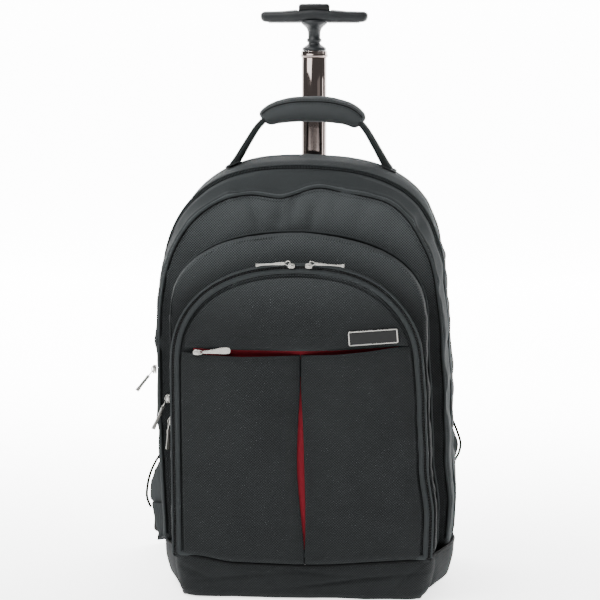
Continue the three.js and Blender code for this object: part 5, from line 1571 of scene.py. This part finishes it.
# %% Back panel
BACK_MOUTH, BACK_FACE = 86.6, 130.0
CHANNELS, CHANNEL_WIDE, CHANNEL_DEEP = (168, 248, 328), 5.0, 4.0
back, _ = shell_rings("back_panel", BACK_MOUTH, BACK_FACE, edge=16, crown=0, depth_steps=10, face_steps=44)
x, z = back[..., 0], back[..., 2]
on_face = fade(back[..., 1], BACK_FACE - 9, BACK_FACE - 1)
groove_depth = 2.4 * np.exp(-(x / 5) ** 2) * fade(420 - z, 0, 30)
for height in CHANNELS:
    bowed = height + 10 * (x / 110) ** 2
    channel = CHANNEL_DEEP * np.exp(-((z - bowed) / CHANNEL_WIDE) ** 2) * fade(112 - np.abs(x), 0, 12)
    groove_depth = np.maximum(groove_depth, channel)
back[..., 1] -= groove_depth * on_face
back = rumpled(back, 0.7, 40, 101)
back_piece = surface("back_panel_pad", back, around=True)
finish_piece(thicken(back_piece, 2.5), "back_padding", "back_panel", padded=0.8)
rim_path = even(ring("back_panel", BACK_FACE - 14, 500, wide=0.965, tall=0.985, by=-1.2), 300)
piece("back_panel_piping", [tube(rim_path, 2.0, closed=True)], "zip_tape")

# %% Shoulder straps
YOKE_Z, PAD_THICK, PAD_WIDE, PAD_END, PAD_OUT = 420.0, 13.0, 60.0, 34.0, 35.7
YOKE_BACK = 130.6
PAD_TOP = 42.0
LEFT_PAD = [(-0.262, 0.635, 0.833), (-0.372, 1, 0.667), (-0.593, 1, 0.476), (-0.83, 0.8, 0.305),
            (-1.02, 0.62, 0.19), (-1.05, 0.5, 0.085)]
RIGHT_PAD = [(0.267, 0.635, 0.833), (0.36, 1, 0.68), (0.535, 1, 0.524), (0.744, 0.83, 0.393),
             (0.85, 0.62, 0.3), (0.866, 0.54, 0.235)]
PAD_STEPS, TONGUE_STEPS, BAND_STEPS = 110, 30, 90


def pad_path(side, rows):
    top = np.array([side * PAD_TOP, YOKE_BACK + PAD_THICK / 2, YOKE_Z - 17 - 0.6])
    run = [(a * HALF, 130.3 + o * PAD_OUT, u * YOKE_Z) for a, o, u in rows]
    return spline([top, top - [0, 0, PAD_THICK], *run], PAD_STEPS)


def webbing_band(name, points, slot, node, wide=22, thick=1.8, twist=0):
    """A band whose width lies along X at its ends, turned by up to `twist` degrees in between."""
    path = spline(points, BAND_STEPS)
    turn = np.radians(twist) * np.sin(np.linspace(0, math.pi, BAND_STEPS)) ** 0.7
    side = np.stack([np.cos(turn), np.sin(turn), 0 * turn], 1)
    band = solid(sweep(path, ellipse(wide, thick, 16, 5), side))
    return piece(name, [band], slot, node)


yoke = plate(rounded(box_outline(156, 34), 9, 6), 12.4, 4.5, 6)
yoke_piece = joined("strap_yoke_pad", [solid(set_at(yoke, (0, YOKE_BACK + 6.6, YOKE_Z)))])
finish_piece(yoke_piece, "back_padding", "strap_yoke", padded=0.7)
inflated(yoke_piece, 4.0, 3.0, 1.5)
BASE_HALF, BASE_TOP = 153.0, 76.0
TAB_X, TAB_Z = 142.0, 128.0
for label, side, rows in (("left", -1, LEFT_PAD), ("right", 1, RIGHT_PAD)):
    path = pad_path(side, rows)
    t = np.linspace(0, 1, PAD_STEPS)
    tangent, _, _ = frames(path, ALONG_Y)
    width_side = np.cross(ALONG_Y, tangent)
    taper = PAD_WIDE + (PAD_END - PAD_WIDE) * (fade(t, 0.94, 1.03) if side < 0 else fade(t, 0.92, 1.0))
    ends = np.minimum(1, 0.55 + 12 * np.minimum(t, 1 - t))
    section = ellipse(1, 1, 36, 3.4)[None] * np.stack([taper - 5, PAD_THICK * 0.86 * ends], 1)[:, None]
    end, heading = path[-1], unit(path[-1] - path[-3])
    tongue_path = end + heading * np.linspace(-14, 27, TONGUE_STEPS)[:, None] - ALONG_Y * 5.4
    tongue_wide = taper[-1] + 2 - 24 * np.linspace(0, 1, TONGUE_STEPS) ** 1.2
    tongue_size = np.stack([tongue_wide, np.full(TONGUE_STEPS, 2.4)], 1)
    tongue_section = ellipse(1, 1, 24, 3.4)[None] * tongue_size[:, None]
    tongue = solid(sweep(tongue_path, tongue_section, np.cross(ALONG_Y, heading)))
    piece(f"shoulder_pad_{label}_tongue", [tongue], "back_padding")
    pad = joined(f"shoulder_pad_{label}_body", [solid(sweep(path, section, width_side))])
    finish_piece(pad, "back_padding", f"shoulder_pad_{label}", padded=0.8)
    inflated(pad, 4.5, 4.0, 2.2)
    _, across, out = frames(path, width_side)
    edges = [tube((path + across * (s * (taper / 2 - 1.6))[:, None])[2:-2], 1.5) for s in (-1, 1)]
    piece(f"shoulder_pad_{label}_piping", edges, "zip_tape")
    lock_across = unit(np.cross(ALONG_Y, heading))
    lock_middle = end + heading * 11.3
    frame_flat = rounded(box_outline(29, 17), 3, 5)
    frame_path = set_at(raised(frame_flat), lock_middle, lock_across, heading)
    normal = np.cross(lock_across, heading)
    parts = [solid(sweep(frame_path, ellipse(4.6, 5.6, 12, 3), normal, True), loop=True)]
    for shift in (-3.2, 3.4):
        bar_path = lock_middle + heading * shift + lock_across * np.linspace(-14, 14, 12)[:, None]
        parts.append(solid(sweep(bar_path, ellipse(3.4, 3.2, 10, 3), heading)))
    piece(f"strap_buckle_{label}_frame", parts, "black_plastic", f"strap_buckle_{label}")
    tab = plate(rounded(box_outline(28, 34), 3, 5), 3.6, 1.2)
    tab_place = np.array([side * TAB_X, BACK_MOUTH - 0.3 + 2.1, TAB_Z])
    piece(f"strap_tab_{label}_patch", [solid(set_at(tab, tab_place))], "plain_cloth", f"strap_tab_{label}")
    cross = np.array([[-10.0, -13], [10, -13], [10, 13], [-10, 13], [-10, -13], [10, 13]])
    sewn = set_at(raised(cross), tab_place + [0, 1.9, 0])
    piece(f"strap_tab_{label}_stitches", [stitches(even(sewn, 120), ALONG_Y, 3, 2.2)], "zip_tape")
    start = np.array([side * TAB_X, BACK_MOUTH + 2.3, TAB_Z - 17.6])
    leave = start + [0, 2, -12]
    arrive = end + heading * 22.9
    approach = arrive + heading * 7
    beside = BASE_HALF + 9
    over = leave + (approach - leave) * 0.45 + [0, 0, 7]
    low = [(side * beside, leave[1] + (approach[1] - leave[1]) * 0.25, BASE_TOP + 4),
           (side * beside, leave[1] + (approach[1] - leave[1]) * 0.6, BASE_TOP / 2)]
    around = [over] if approach[2] > BASE_TOP - 22 else low
    twist = 0 if around == [over] else 65
    webbing_band(f"strap_webbing_{label}_band", [start, leave, *around, approach, arrive], "webbing",
                 f"strap_webbing_{label}", twist=twist)
print("straps sewn")

# %% [markdown]
# ## Wheels
# Each wheel is a rubber tyre with a grooved tread round a spoked hub, on a fixed steel pin.
# Tyre and hub are turned profiles; ribs and spokes are repeated forms.

# %% Wheels
WHEEL_R, WHEEL_WIDE, WHEEL_X, WHEEL_Y = 26.0, 22.0, 130.0, 114.0
LUGS = 40
turns = np.linspace(0, 2 * math.pi, LUGS, endpoint=False)
radial = np.stack([0 * turns, np.cos(turns), np.sin(turns)], 1)
round_way = np.stack([0 * turns, -np.sin(turns), np.cos(turns)], 1)
spoke_out, spoke_round = radial[::8], round_way[::8]
for label, side in SIDES:
    centre = np.array([side * WHEEL_X, WHEEL_Y, WHEEL_R])
    body = f"wheel_{label}"
    half = WHEEL_WIDE / 2 - 1
    tread = [(20.85, -half), (22.5, -half), (24.4, -half + 0.6), (25.5, -half + 2.2), (25.9, -half + 4),
             (25.9, -1.4), (25.0, -0.9)]
    tread += [(r, -z) for r, z in tread[::-1]]
    tyre = solid(turned(tread, centre, ALONG_X, 72), loop=True)
    lugs = []
    for s in (-1, 1):
        places = centre + radial * 24.9 + [s * (half - 2.6), 0, 0]
        lugs.append(repeated(bead(3.8, 2.0, 1.9, 6, 5), places, np.tile(ALONG_X, (LUGS, 1)), round_way))
    piece(f"tyre_{label}_tread", [tyre] + lugs, "wheel_rubber", f"tyre_{label}", body=body)
    lip = half - 0.2
    rim = rounded([(17.0, -lip), (20.4, -lip), (20.4, lip), (17.0, lip), (16.6, 3), (16.6, -3)], 0.7, 3)
    boss = rounded([(4.4, -10.9), (8.2, -10.9), (9.0, -6), (9.0, 6), (8.2, 10.9), (4.4, 10.9)], 0.7, 3)
    web = [(8.8, -1.6), (16.9, -1.2), (16.9, 1.2), (8.8, 1.6)]
    spokes = repeated(bead(13, 4.6, 11.0, 10, 6), centre + spoke_out * 12.8, spoke_out, spoke_round)
    hub = [solid(turned(p, centre, ALONG_X, 56), loop=True) for p in (rim, boss, web)]
    piece(f"hub_{label}_wheel", hub + [spokes], "black_plastic", f"hub_{label}", body=body)
print("wheels turned")

# %% [markdown]
# ## What is left of the frame
# The wheel base and its pins are hard moulded and turned solids that the frame already holds.
# They keep their CAD meshes and take the material of their slot.

# %% Remaining nodes
SLOT_OF = {part["node"]: part["material_slot"] for part in frame["record"]["subparts"]}
left_over = [name for name, node in frame["nodes"].items() if not node.hide_render]
for name in left_over:
    frame["nodes"][name].data.materials.clear()
    frame["nodes"][name].data.materials.append(MATERIALS[SLOT_OF[name]])
print("CAD nodes that stay:", left_over)

# %% [markdown]
# ## Studio
# A pale sweep of paper runs from the floor up behind the bag. It glows, and its far part most,
# as a backdrop with lamps of its own does. A large lamp hangs close above and in front, so that
# the bag's top is bright and its front falls off downwards. Weaker ones fill from the right,
# light the top from behind and draw the right edge.

# %% Studio
def backdrop():
    """Floor, quarter-round bend and wall, as one profile carried along X."""
    turn = np.linspace(0, math.pi / 2, 24)
    bend, depth = 900.0, 2600.0
    y = np.concatenate([[-6000], depth + bend * np.sin(turn), [depth + bend]])
    z = np.concatenate([[0], bend * (1 - np.cos(turn)), [5200]])
    x = np.linspace(-5000, 5000, 3)
    points = np.stack(np.broadcast_arrays(x[None], y[:, None], z[:, None]), -1)
    return surface("backdrop", points, inside=(0, 9000, -3000))


def lit_paper():
    """White paper whose glow grows by a smooth step with the distance behind the bag, in metres."""
    tree, principled = shader("paper", 0.9, Base_Color=(0.95, 0.95, 0.95, 1), Emission_Color=(1, 1, 1, 1))
    place = put(tree, "ShaderNodeTexCoord").outputs["Object"]
    behind = put(tree, "ShaderNodeSeparateXYZ", {0: place}).outputs[1]
    glow = ramp(tree, behind, -0.2, 1.3, 2.2, 10.0, "SMOOTHSTEP")
    tree.links.new(glow, principled.inputs["Emission Strength"])


lit_paper()
paper = backdrop()
paper.data.materials.append(MATERIALS["paper"])


def lamp(name, place, size, power, target=(0, -60, 260)):
    data = bpy.data.lights.new(name, "AREA")
    data.shape, data.size, data.energy = "SQUARE", size, power
    obj = bpy.data.objects.new(name, data)
    bpy.context.scene.collection.objects.link(obj)
    aim(obj, to_frame(place), to_frame(target))
    return obj


lamp("key", (-640, -560, 1430), 1.0, 40, (-20, -40, 420))
lamp("fill", (1500, -1300, 900), 0.9, 1.5)
lamp("top", (-200, 260, 1900), 1.4, 5)
edge = lamp("edge", (1500, 150, 380), 0.22, 9, (0, 100, 540))
edge.data.shape, edge.data.size_y = "RECTANGLE", 1.3
world = bpy.data.worlds.new("studio")
world.use_nodes = True
world.node_tree.nodes["Background"].inputs["Color"].default_value = (1, 1, 1, 1)
world.node_tree.nodes["Background"].inputs["Strength"].default_value = 0.34
bpy.context.scene.world = world
